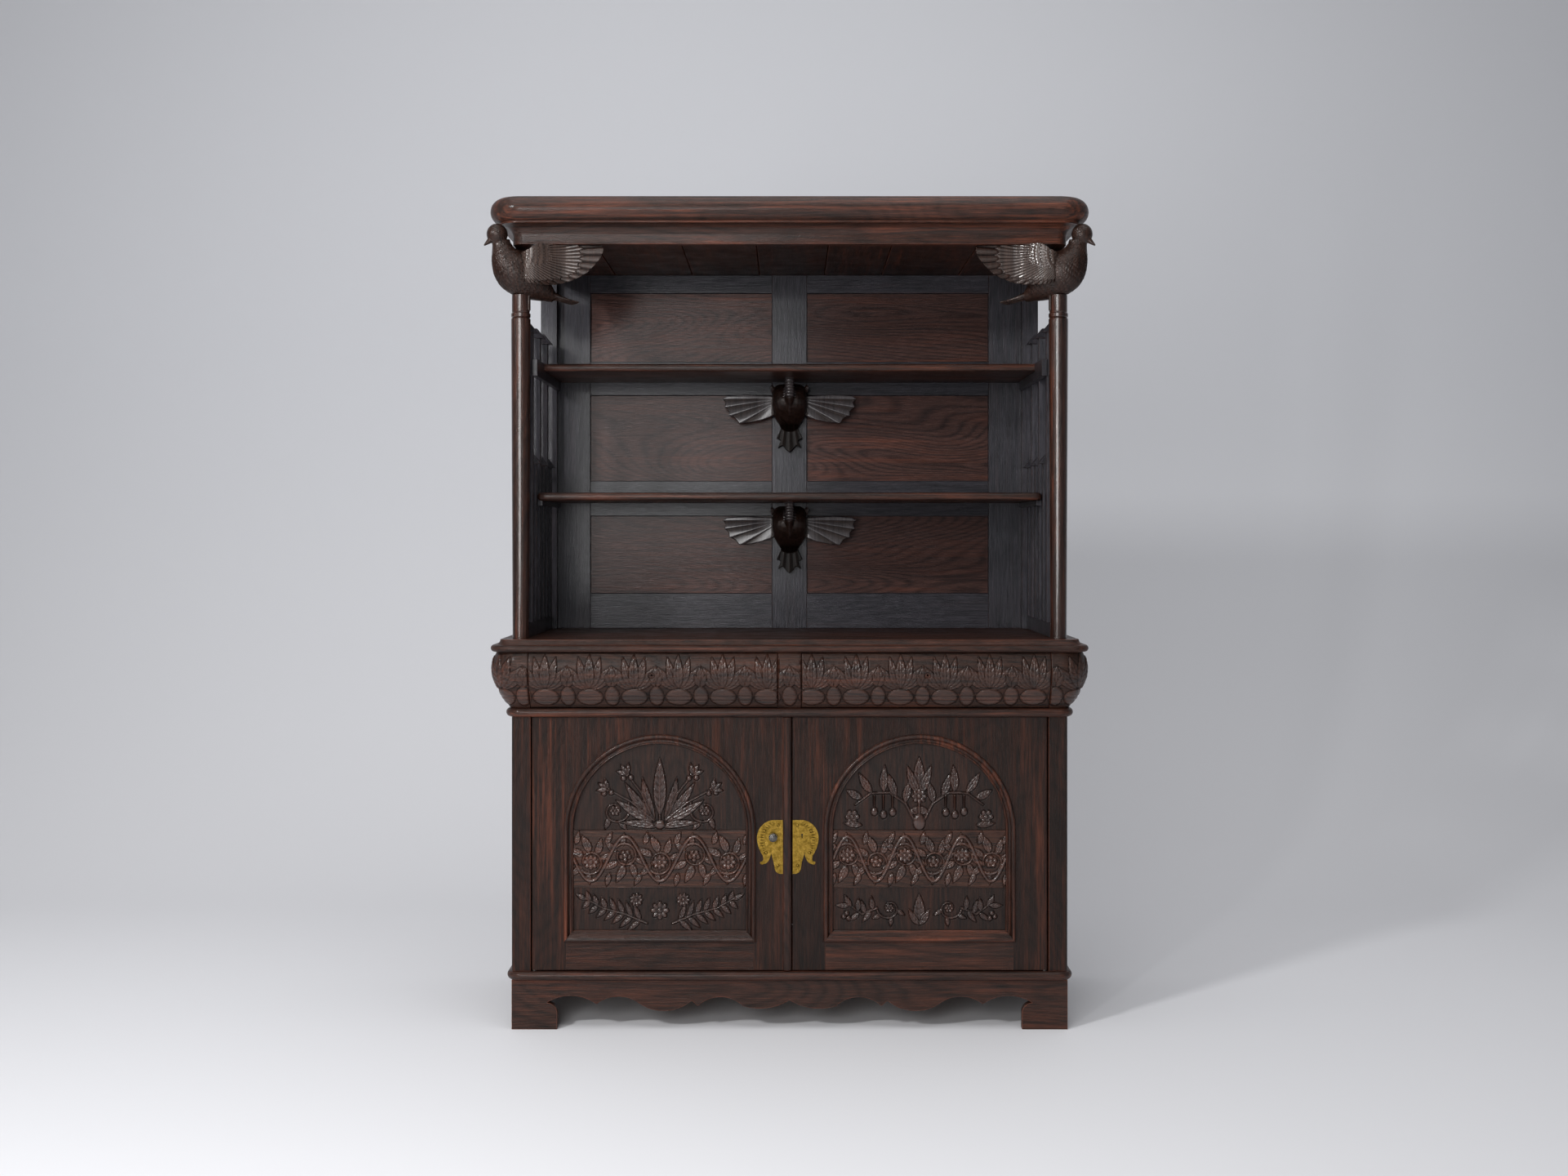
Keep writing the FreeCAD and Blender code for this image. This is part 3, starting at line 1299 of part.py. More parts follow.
def bracket_bird(name, top):
    """A bird with spread wings that rises from the back's muntin to the shelf above."""
    drop = s.bracket_drop.number
    reach = s.bracket_reach.number
    wall = (back - s.board_thickness).number
    under = (z_hutch + top - s.shelf_thickness).number
    aside = FreeCAD.Vector(1, 0, 0)
    rings = []
    for forward, down, wide, thick, lean in BRACKET_SHARES:
        angle = math.radians(lean)
        normal = FreeCAD.Vector(0, -math.cos(angle), math.sin(angle))
        centre = FreeCAD.Vector(0, wall - forward * reach, under - down * drop)
        rings.append(oval(centre, normal, aside, wide * drop, thick * drop))
    body = lofted(rings)
    right = [FreeCAD.Vector(out * drop, wall, under - down * drop) for out, down in FIN_SHARES]
    left = [FreeCAD.Vector(-point.x, point.y, point.z) for point in reversed(right[:-1])]
    fin = Part.Face(Part.makePolygon(right + left + right[:1]))
    fin = fin.extrude(FreeCAD.Vector(0, -s.bracket_wing_thickness.number * 2, 0))
    body = body.fuse(fin)
    above = Part.makeBox(reach, reach * 2, reach, FreeCAD.Vector(-reach / 2, wall - reach * 2, under))
    behind = Part.makeBox(drop, reach, drop * 2, FreeCAD.Vector(-drop / 2, wall, under - drop * 1.5))
    body = body.cut(above).cut(behind)
    body = max(body.Solids, key=lambda part: part.Volume)
    span = s.bracket_wing_span.number
    fall = s.bracket_wing_drop.number
    stand = s.bracket_wing_standoff.number
    low = under - s.bracket_wing_low.number
    wings = []
    for side in (-1, 1):
        corners = [FreeCAD.Vector(out * span * side, wall - stand, low - down * fall)
                   for out, down in BRACKET_WING_SHARES]
        face = Part.Face(Part.makePolygon(corners + corners[:1]))
        wing = face.extrude(FreeCAD.Vector(0, -s.bracket_wing_thickness.number, 0)).cut(body)
        wings.append(max(wing.Solids, key=lambda part: part.Volume))
    modelled(name, Part.makeCompound([body] + wings))


# The whole cabinet

plinth()
beads()
lower_case()
frieze()
drawer(-1, "left")
drawer(1, "right")
worktop()
door("left", -1)
door("right", 1)
astragal()
latch()
columns()
gallery()
shelves()
hutch_back()
cornice()
for bird_name, bird_side in (("left", -1), ("right", 1)):
    column_bird(bird_name, bird_side)
bracket_bird("upper_bracket_bird", s.upper_shelf_top)
bracket_bird("lower_bracket_bird", s.lower_shelf_top)

NODES = (
    "plinth_front", "plinth_sides", "plinth_back", "plinth_corner_blocks", "base_bead", "bottom_board",
    "front_left_post", "front_right_post", "rear_posts", "case_sides", "lower_back_boards",
    "inner_shelf", "shelf_cleats", "latch_keeper", "divider_board", "waist_bead", "frieze_ends",
    "drawer_muntin", "drawer_guides", "worktop",
    "left_drawer_front", "left_drawer_box", "left_drawer_lock", "left_drawer_bolt",
    "right_drawer_front", "right_drawer_box", "right_drawer_lock", "right_drawer_bolt",
    "left_door_frame", "left_door_mouldings", "left_door_panels", "left_lock_plate", "left_door_pins",
    "astragal", "latch_knob",
    "right_door_frame", "right_door_mouldings", "right_door_panels", "right_lock_plate", "right_door_pins",
    "right_door_lock", "right_door_bolt",
    "left_column", "right_column", "left_bird_body", "left_bird_wings", "right_bird_body",
    "right_bird_wings", "hutch_rear_posts", "gallery_rails", "left_slats", "right_slats",
    "upper_shelf", "lower_shelf", "hutch_back_frame", "hutch_back_panels", "upper_bracket_bird",
    "lower_bracket_bird", "cornice_moulding", "cornice_boards",
)

# Check and write

doc.recompute()
for thing in doc.Objects:
    if "Invalid" in thing.State or "Error" in thing.State:
        raise RuntimeError("%s did not build: %s" % (thing.Label, thing.State))
os.makedirs("parts", exist_ok=True)
labelled = {thing.Label: thing for thing in doc.Objects}
for node in NODES:
    shape = labelled[node].Shape
    if shape.isNull() or not shape.isValid() or not shape.Solids:
        raise RuntimeError("%s has no valid shape" % node)
    shape.exportStep("parts/%s.step" % node)
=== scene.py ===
import json
import math

import bmesh
import bpy
import numpy as np
from bpy.props import FloatProperty, FloatVectorProperty, PointerProperty
from mathutils import Matrix, Vector

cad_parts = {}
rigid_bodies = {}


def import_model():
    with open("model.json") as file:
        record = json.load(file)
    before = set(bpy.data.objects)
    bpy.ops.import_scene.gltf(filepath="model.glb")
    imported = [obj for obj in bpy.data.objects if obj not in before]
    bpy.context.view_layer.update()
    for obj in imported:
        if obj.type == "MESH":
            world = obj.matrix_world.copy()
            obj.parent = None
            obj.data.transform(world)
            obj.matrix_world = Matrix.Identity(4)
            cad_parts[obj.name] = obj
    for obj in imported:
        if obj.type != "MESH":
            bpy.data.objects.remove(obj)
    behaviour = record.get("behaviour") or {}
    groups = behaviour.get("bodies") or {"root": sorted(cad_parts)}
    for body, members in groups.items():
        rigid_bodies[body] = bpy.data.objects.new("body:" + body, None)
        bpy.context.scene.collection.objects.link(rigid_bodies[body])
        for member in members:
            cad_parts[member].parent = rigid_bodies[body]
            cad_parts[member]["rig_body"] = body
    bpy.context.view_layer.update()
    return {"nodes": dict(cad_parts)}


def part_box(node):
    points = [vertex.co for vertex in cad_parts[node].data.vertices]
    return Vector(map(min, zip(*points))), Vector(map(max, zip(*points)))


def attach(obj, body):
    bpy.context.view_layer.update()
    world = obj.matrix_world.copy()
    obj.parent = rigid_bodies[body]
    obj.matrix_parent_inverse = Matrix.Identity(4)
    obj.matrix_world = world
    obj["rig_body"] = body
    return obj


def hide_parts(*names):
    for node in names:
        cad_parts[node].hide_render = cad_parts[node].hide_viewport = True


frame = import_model()

bl_info = {
    "name": "Carved oak cabinet",
    "version": (1, 0, 0),
    "blender": (4, 5, 0),
    "location": "3D View > Sidebar > Cabinet",
    "description": "Builds the looks of a carved oak cabinet on its construction model",
    "category": "Object",
}

# Named places and sizes are in millimetres, the properties and what Blender gets in metres
MM = 0.001
SIDES = {"left": -1, "right": 1}
AXES = "XYZ"


def srgb(*channels):
    """Linear colour of an 8-bit screen colour."""
    return tuple(((c / 255 + 0.055) / 1.055) ** 2.4 if c > 10 else c / 255 / 12.92 for c in channels)


def colour(name, description, *channels):
    """A colour a user may change, its default given as an 8-bit screen colour."""
    kind = {"subtype": "COLOR", "size": 3, "min": 0, "max": 1}
    return FloatVectorProperty(name=name, description=description, default=srgb(*channels), **kind)


def length(name, description, value):
    """A length a user may change, in metres."""
    return FloatProperty(name=name, description=description, unit="LENGTH", min=0, default=value, precision=5)


def power(name, description, value):
    """A lamp's power a user may change, in watts."""
    return FloatProperty(name=name, description=description, unit="POWER", min=0, default=value)


class CABINET_PG_colours(bpy.types.PropertyGroup):
    """Colours of the wood, the metal and the backdrop."""

    oak_dark: colour("Dark oak", "Darkest tone of the oiled oak", 15, 9, 7)
    oak_light: colour("Brown oak", "Lightest tone of the oiled oak's grain", 66, 39, 30)
    oak_worn: colour("Worn oak", "Red-brown wood where hands have worn the finish", 124, 66, 44)
    back_dark: colour("Dark back", "Darkest tone of the back and shelves", 19, 17, 20)
    # The back's light tone is bluish grey as a painted sheen on its stiles and rails.
    back_painted_sheen: colour("Grey back", "Bluish grey sheen of the back's stiles and rails", 60, 56, 62)
    panel_dark: colour("Dark panel", "Grain lines of the back's panels", 14, 8, 7)
    panel_light: colour("Brown panel", "Ground of the back's panels", 76, 51, 44)
    carved_dark: colour("Dark carving", "Ground of the carved boards", 15, 10, 9)
    carved_light: colour("Brown carving", "Lighter grain of the carved boards", 60, 38, 30)
    carved_warm: colour("Warm carving", "Lighter grain of the middle boards and the frieze", 82, 52, 40)
    # The column birds' high parts take this colour as worn tone and a painted highlight.
    bird_worn_and_painted_highlight: colour("Worn bird", "Rubbed high parts of the column birds", 96, 80, 72)
    # The bracket birds' high parts take this greyish colour as worn tone and a painted sheen.
    bracket_worn_and_painted_sheen: colour("Worn bracket", "Rubbed high parts of the bracket birds", 92, 88, 92)
    inside: colour("Inside oak", "Plain oak inside the case and drawers", 104, 78, 56)
    brass: colour("Brass", "Polished high parts of the brass", 196, 160, 74)
    brass_old: colour("Old brass", "Tarnished low parts of the brass", 112, 88, 32)
    steel: colour("Steel", "Steel of the knob and the locks", 138, 135, 131)
    backdrop_low: colour("Floor", "Backdrop near the floor", 228, 228, 231)
    backdrop_high: colour("Wall", "Backdrop above", 222, 223, 227)


class CABINET_PG_sizes(bpy.types.PropertyGroup):
    """Sizes of the carving and the softened edges."""

    edge: length("Edge", "Width of a board's worn edge", 0.0012)
    fine_edge: length("Fine edge", "Width of a moulding's worn edge", 0.0006)
    panel_relief: length("Panel relief", "Height of the motifs on the doors", 0.0044)
    frieze_relief: length("Frieze relief", "Height of the motifs on the frieze", 0.0040)
    feather_depth: length("Feather depth", "Depth of the feathers on the column birds", 0.0027)
    cell: length("Carving cell", "Spacing of the carved surface's points", 0.0015)
    frieze_pitch: length("Frieze pitch", "Distance between two motifs of the frieze", 0.1155)


class CABINET_PG_stage(bpy.types.PropertyGroup):
    """Lamps and surroundings."""

    key: power("Key lamp", "Power of the lamp above left", 105)
    front: power("Front lamp", "Power of the soft lamp left of the camera", 54)
    strip: power("Strip lamp", "Power of the narrow lamp that lights the columns' edges", 38)
    top: power("Top lamp", "Power of the wide lamp overhead", 150)
    world: FloatProperty(name="Surroundings", description="Strength of the even light", min=0, default=0.17)


# Shaders


def wire(tree, made, inputs):
    """Links each input of a node to a socket, or sets its value."""
    for key, value in inputs.items():
        if isinstance(value, bpy.types.NodeSocket):
            tree.links.new(value, made.inputs[key])
        else:
            made.inputs[key].default_value = value


def add(tree, kind, inputs=None, **settings):
    """A node with its settings and its inputs."""
    made = tree.nodes.new(kind)
    for key, value in settings.items():
        setattr(made, key, value)
    wire(tree, made, inputs or {})
    return made


def noise(tree, vector, scale, detail=3.0, rough=0.55, distortion=0.0):
    """Noise over a place, its scale in waves a metre."""
    inputs = {"Vector": vector, "Scale": scale, "Detail": detail, "Roughness": rough}
    return add(tree, "ShaderNodeTexNoise", {**inputs, "Distortion": distortion}).outputs[0]


def calculate(tree, operation, first, second=0.5):
    """The result of an operation on one or two values."""
    return add(tree, "ShaderNodeMath", {0: first, 1: second}, operation=operation).outputs[0]


def product(tree, first, second):
    """Two values multiplied."""
    return calculate(tree, "MULTIPLY", first, second)


def spread(tree, value, low, high, to_low=0.0, to_high=1.0):
    """Maps a range of a value to another, and keeps it there."""
    inputs = {"Value": value, "From Min": low, "From Max": high, "To Min": to_low, "To Max": to_high}
    return add(tree, "ShaderNodeMapRange", inputs).outputs[0]


def blend(tree, factor, first, second, how="MIX"):
    """Mixes two colours."""
    rgba = [v if isinstance(v, bpy.types.NodeSocket) else (*v, 1) for v in (first, second)]
    inputs = {0: factor, 6: rgba[0], 7: rgba[1]}
    return add(tree, "ShaderNodeMix", inputs, data_type="RGBA", blend_type=how).outputs[2]


def attribute(tree, name):
    """A number that the mesh carries."""
    return add(tree, "ShaderNodeAttribute", attribute_name=name).outputs["Fac"]


def object_place(tree):
    """The place on the object."""
    return add(tree, "ShaderNodeTexCoord").outputs["Object"]


def bump(tree, height, strength, distance):
    """The normal of a surface with small heights on it."""
    inputs = {"Height": height, "Strength": strength, "Distance": distance}
    return add(tree, "ShaderNodeBump", inputs).outputs[0]


def toned(tone, share):
    """A colour at a share of its brightness."""
    return tuple(share * v for v in tone)


def shader_tree(name):
    """A new material's empty tree with its shader and output."""
    material = bpy.data.materials.new(name)
    material.use_nodes = True
    tree = material.node_tree
    tree.nodes.clear()
    shader = add(tree, "ShaderNodeBsdfPrincipled")
    add(tree, "ShaderNodeOutputMaterial", {"Surface": shader.outputs[0]})
    return tree, shader


# Noise of the wood: waves a metre, detail, roughness and distortion
FIBRES = (900, 3.0, 0.65)
FOLDS = (4.2, 1.2, 0.4, 0.2)
# The same with the range of the noise that is drawn
PATTERNS = {
    "streaks": ((210, 4.0, 0.65), (0.36, 0.64)),
    "patches": ((75, 5.0, 0.7), (0.46, 0.66)),
    "worn places": ((8, 3.0), (0.38, 0.6)),
    "handling": ((14, 3.0), (0.3, 0.7)),
}
PORE_RANGE = (0.42, 0.58)
RING_RANGE = (0.03, 0.3)
FIBRE_SHARE = 0.035
FIGURE_SHARE = 0.22
FIBRE_WANDER = 0.012
# Steps that move the pattern and the shade from board to board, and how far the shade goes
BOARD_STEP = 7.3
SHADE_STEP = 13.7
SHADE_RANGE = (0.75, 1.2)
# Shine of the oil, and the depth of the grain in the wood and in the varnish over it
SHINE = 0.28
DULL = 0.05
GRAIN_DEPTH = 0.0008
VARNISH_DEPTH = 0.0005
VARNISH_SHARE = 0.13
VARNISH_ROUGH = 0.12


def pattern(tree, place, name, to_low=0.0, to_high=1.0):
    """One of the wood's patterns over a place."""
    settings, (low, high) = PATTERNS[name]
    return spread(tree, noise(tree, place, *settings), low, high, to_low, to_high)


def drawn_out(tree, place, grain, share):
    """A place on which patterns are drawn out along the grain."""
    scale = [share if axis == grain else 1 for axis in AXES]
    return add(tree, "ShaderNodeMapping", {"Vector": place, "Scale": scale}).outputs[0]


def growth_rings(tree, place, fibre, rings):
    """Dark and light growth rings along the folds of the wood."""
    folds = calculate(tree, "ADD", noise(tree, place, *FOLDS), product(tree, fibre, FIBRE_WANDER))
    return spread(tree, calculate(tree, "PINGPONG", product(tree, folds, rings), 0.5), *RING_RANGE)


def oak(
    name, grain, dark, light, worn, wear_and_painted_light=0.25, figure=0.5, rings=34.0,
    gloss=(0.3, 0.5), carved=0.0, coat=0.15, bumps=0.7, tint=(1.0, 0.92, 0.88),
):
    """Oiled oak with the grain along one axis; boards differ by their own attribute.

    wear is how much worn tone shows, figure how strong the growth rings are, gloss the range of roughness,
    carved how far high parts take the worn colour, which for the birds is also a painted highlight, while
    cuts are darkened as painted shade; coat the weight of the varnish and tint the colour of the shine.
    """
    tree, shader = shader_tree(name)
    board = attribute(tree, "board")
    shift = product(tree, board, BOARD_STEP)
    moved = add(tree, "ShaderNodeVectorMath", {0: object_place(tree), 1: shift}, operation="ADD").outputs[0]
    long, wide = (drawn_out(tree, moved, grain, share) for share in (FIBRE_SHARE, FIGURE_SHARE))
    fibre = noise(tree, long, *FIBRES)
    pores = spread(tree, fibre, *PORE_RANGE)
    streaks = pattern(tree, long, "streaks")
    ringed = product(tree, growth_rings(tree, wide, fibre, rings), figure)
    tone = calculate(tree, "ADD", ringed, product(tree, streaks, 1 - figure))
    tone = product(tree, tone, spread(tree, pores, 0, 1, 0.35, 1.0))
    base = blend(tree, tone, dark, light)
    patches = product(tree, pattern(tree, long, "patches", 0.0, wear_and_painted_light), pattern(tree, wide, "worn places"))
    base = blend(tree, product(tree, patches, spread(tree, streaks, 0, 1, 0.35, 1)), base, worn)
    shade = calculate(tree, "FRACT", product(tree, board, SHADE_STEP))
    base = blend(tree, 1.0, base, spread(tree, shade, 0, 1, *SHADE_RANGE), "MULTIPLY")
    shine = SHINE
    if carved:
        relief = attribute(tree, "relief")
        # Painted shade: low parts and cuts are darkened towards near black. High parts then take the worn
        # colour, which for the birds is also a painted highlight.
        base = blend(tree, spread(tree, relief, 0.0, 0.35, 0.85, 0.0), base, toned(dark, 0.3))
        rubbed = blend(tree, 1.0, worn, spread(tree, tone, 0, 0.8, 0.4, 1.15), "MULTIPLY")
        base = blend(tree, spread(tree, relief, 0.4, 1.0, 0.0, carved), base, rubbed)
        coat = spread(tree, relief, 0.45, 0.85, DULL, coat)
        shine = spread(tree, relief, 0.0, 0.25, DULL, SHINE)
    height = calculate(tree, "ADD", product(tree, pores, 0.6), product(tree, streaks, 0.6))
    wire(tree, shader, {
        "Base Color": base,
        "Roughness": pattern(tree, moved, "handling", *gloss),
        "Normal": bump(tree, height, bumps, GRAIN_DEPTH),
        "Specular IOR Level": shine,
        "Specular Tint": (*tint, 1),
        "Coat Weight": coat,
        "Coat Roughness": VARNISH_ROUGH,
        "Coat Normal": bump(tree, height, bumps * VARNISH_SHARE, VARNISH_DEPTH),
    })


# How each wood is worn, marked and polished, in the terms of the function above
LOOKS = {
    "oak": dict(wear_and_painted_light=0.42, figure=0.4, coat=0.05),
    "moulding": dict(wear_and_painted_light=0.85, figure=0.3, gloss=(0.28, 0.42), coat=0.14),
    "column": dict(wear_and_painted_light=0.6, figure=0.3, gloss=(0.2, 0.28), coat=1.0, bumps=0.35),
    "back": dict(wear_and_painted_light=0.2, figure=0.25, gloss=(0.3, 0.4), coat=0.26, bumps=0.6, tint=(0.88, 0.92, 1.0)),
    "panel": dict(
        wear_and_painted_light=0.45, figure=0.7, rings=60.0, gloss=(0.32, 0.42), coat=0.18, bumps=0.5, tint=(1.0, 0.7, 0.68)
    ),
    "inside": dict(wear_and_painted_light=0.1, figure=0.4, gloss=(0.55, 0.75)),
    "oak worn edge": dict(wear_and_painted_light=0.5, figure=0.2),
    "back worn edge": dict(wear_and_painted_light=0.3, figure=0.2),
    "oak carved": dict(wear_and_painted_light=0.3, figure=0.4, gloss=(0.36, 0.48), carved=0.14, coat=1.0, bumps=0.4),
    "oak carved across": dict(wear_and_painted_light=0.6, figure=0.4, gloss=(0.36, 0.5), carved=0.05, coat=0.55, bumps=0.5),
    "oak carved middle": dict(wear_and_painted_light=0.8, figure=0.4, gloss=(0.34, 0.46), carved=0.12, coat=1.0, bumps=0.4),
    "oak bird": dict(wear_and_painted_light=0.15, figure=0.3, gloss=(0.24, 0.34), carved=0.6, coat=0.9, bumps=0.3),
    "oak bracket bird": dict(wear_and_painted_light=0.1, figure=0.3, gloss=(0.34, 0.44), carved=0.8, coat=0.9, bumps=0.3),
}
# Carved finishes with upright grain, and how dark the boards of upright oak are
UPRIGHT = ("oak carved", "oak bird", "oak bracket bird")
UPRIGHT_SHARE = 0.5


def metal(name, bright, dull, rough, scale):
    """Handled metal, brighter where it is raised or rubbed; its stains have scale waves a metre."""
    tree, shader = shader_tree(name)
    place = object_place(tree)
    stains = spread(tree, noise(tree, place, scale, 6.0, 0.75), 0.38, 0.62)
    pits = spread(tree, noise(tree, place, scale * 7, 2.0), 0.36, 0.48, 0.3, 1.0)
    rubbed = spread(tree, attribute(tree, "relief"), 0, 0.5, 0.7, 1.0)
    worn = product(tree, product(tree, stains, pits), rubbed)
    beaten = calculate(tree, "ADD", product(tree, noise(tree, place, scale * 0.7, 1.0), 4.0), pits)
    wire(tree, shader, {
        "Base Color": blend(tree, worn, dull, bright),
        "Roughness": spread(tree, stains, 0, 1, rough + 0.2, rough),
        "Normal": bump(tree, beaten, 0.5, 0.0004),
        "Metallic": 1.0,
    })


# Meshes


def mesh_object(name, points, faces, *finishes):
    """A new object at the origin with its place in its mesh and its finishes."""
    mesh = bpy.data.meshes.new(name)
    mesh.from_pydata([tuple(p) for p in points], [], faces)
    mesh.update()
    for finish in finishes:
        mesh.materials.append(bpy.data.materials[finish])
    obj = bpy.data.objects.new(name, mesh)
    bpy.context.scene.collection.objects.link(obj)
    return obj


def joined(parts):
    """Points and faces of several parts as one."""
    points, faces = [], []
    for more, sides in parts:
        faces += [[i + len(points) for i in side] for side in sides]
        points += [tuple(p) for p in more]
    return points, faces


def rows_of_faces(rows, count):
    """Faces between closed rows of points, one row after another, and a face at each end."""
    faces = []
    for start in range(0, (rows - 1) * count, count):
        for i in range(count):
            j = (i + 1) % count
            faces.append([start + i, start + j, start + count + j, start + count + i])
    return faces + [list(range(count))[::-1], list(range((rows - 1) * count, rows * count))]


def give(mesh, name, values):
    """Writes a number for each point."""
    layer = mesh.attributes.get(name) or mesh.attributes.new(name, "FLOAT", "POINT")
    layer.data.foreach_set("value", np.asarray(values, np.float32))


def coords(mesh):
    """The points of a mesh as rows of x, y and z."""
    out = np.zeros(len(mesh.vertices) * 3)
    mesh.vertices.foreach_get("co", out)
    return out.reshape(-1, 3)


def shade_smooth(mesh, sharp=None):
    """Shades the faces smooth, but for edges sharper than an angle in degrees."""
    mesh.polygons.foreach_set("use_smooth", [True] * len(mesh.polygons))
    if sharp:
        mesh.set_sharp_from_angle(angle=math.radians(sharp))


def turn_out(obj):
    """Turns every face of closed solids outwards."""
    bm = bmesh.new()
    bm.from_mesh(obj.data)
    bmesh.ops.recalc_face_normals(bm, faces=bm.faces)
    bm.to_mesh(obj.data)
    bm.free()


def make_plain(obj):
    """Gives the object its evaluated mesh in place of its modifiers."""
    graph = bpy.context.evaluated_depsgraph_get()
    final = obj.evaluated_get(graph)
    mesh = bpy.data.meshes.new_from_object(final, preserve_all_data_layers=True, depsgraph=graph)
    obj.modifiers.clear()
    old, obj.data = obj.data, mesh
    bpy.data.meshes.remove(old)
    mesh.name = obj.name


def settle(obj, body, slot, *nodes):
    """Puts a finished piece on its body, in place of the nodes that it shows."""
    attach(obj, body)
    if nodes:
        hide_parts(*nodes)


# Steps a metre at which points of a construction node count as one
WELD_STEPS = 5e4


def closed_groups(triangles):
    """Splits triangles in their order wherever those so far close a skin."""
    groups, open_edges, start = [], set(), 0
    for i, (a, b, c) in enumerate(triangles.tolist()):
        for edge in ((a, b), (b, c), (c, a)):
            if edge[0] != edge[1]:
                open_edges ^= {(min(edge), max(edge))}
        if not open_edges:
            groups.append(triangles[start : i + 1])
            start = i + 1
    if start < len(triangles):
        groups.append(triangles[start:])
    return groups


def solids(node):
    """Each solid of a construction node as merged points and triangles."""
    mesh = frame["nodes"][node].data
    mesh.calc_loop_triangles()
    triangles = np.zeros(len(mesh.loop_triangles) * 3, int)
    mesh.loop_triangles.foreach_get("vertices", triangles)
    steps = np.round(coords(mesh) * WELD_STEPS).astype(int)
    _, first, index = np.unique(steps, axis=0, return_index=True, return_inverse=True)
    points = coords(mesh)[first]
    out = []
    for group in closed_groups(index.reshape(-1)[triangles].reshape(-1, 3)):
        used, local = np.unique(group, return_inverse=True)
        local = local.reshape(-1, 3)
        a, b, c = local.T
        local = local[(a != b) & (b != c) & (c != a)]
        if len(local) > 3:
            out.append((points[used], local))
    return out


def long_axis(points):
    """The letter of the longest side of the points' box."""
    return AXES[int(np.argmax(points.max(0) - points.min(0)))]


# Angles in degrees: edges flatter than the first are dissolved, sharper than the second worn,
# and sharper than the third drawn sharp
FLAT_ANGLE = 0.4
WORN_ANGLE = 28
SHARP_ANGLE = 35.0


def wear_edges(obj, width):
    """Rounds the sharp edges of boards, in the worn finish that is the object's last."""
    bevel = obj.modifiers.new("edge", "BEVEL")
    bevel.width = width
    bevel.segments = 2
    bevel.limit_method = "ANGLE"
    bevel.angle_limit = math.radians(WORN_ANGLE)
    bevel.material = len(obj.data.materials) - 1
    bevel.harden_normals = True
    bevel.miter_outer = "MITER_ARC"


def board_copy(node, finishes, width, grain=None):
    """A copy of a node with rounded edges and one tone for each board, its grain along the board."""
    points, faces, axes, boards = [], [], [], []
    rng = np.random.default_rng(len(node) * 31 + ord(node[0]) * 7 + ord(node[-1]))
    for solid, triangles in solids(node):
        axis = grain(solid) if grain else long_axis(solid)
        bm = bmesh.new()
        made = [bm.verts.new(p) for p in solid]
        for t in triangles:
            if bm.faces.get([made[i] for i in t]) is None:
                bm.faces.new([made[i] for i in t])
        bmesh.ops.recalc_face_normals(bm, faces=bm.faces)
        bmesh.ops.dissolve_limit(bm, angle_limit=math.radians(FLAT_ANGLE), verts=bm.verts, edges=bm.edges)
        bm.verts.index_update()
        shade = rng.random()
        base = len(points)
        points += [tuple(v.co) for v in bm.verts]
        faces += [[base + v.index for v in f.verts] for f in bm.faces]
        axes += [AXES.index(axis)] * len(bm.faces)
        boards += [shade] * len(bm.verts)
        bm.free()
    obj = mesh_object(node + "_wood", points, faces, *finishes)
    obj.data.polygons.foreach_set("material_index", axes)
    give(obj.data, "board", boards)
    if width > 0:
        wear_edges(obj, width)
    shade_smooth(obj.data, SHARP_ANGLE)
    make_plain(obj)
    return obj


# Carving

# How far a motif's cut and its rounded edge reach
CUT_REACH = 1.6
SHOULDER = 4.6
FAR = 1e9


def mirrored(turn, side):
    """A direction in degrees on the right side, turned over for side -1."""
    return 90 - side * (90 - turn)


def ridge(value, wide):
    """1 on a line and nothing away from it."""
    return np.exp(-((value / wide) ** 2))


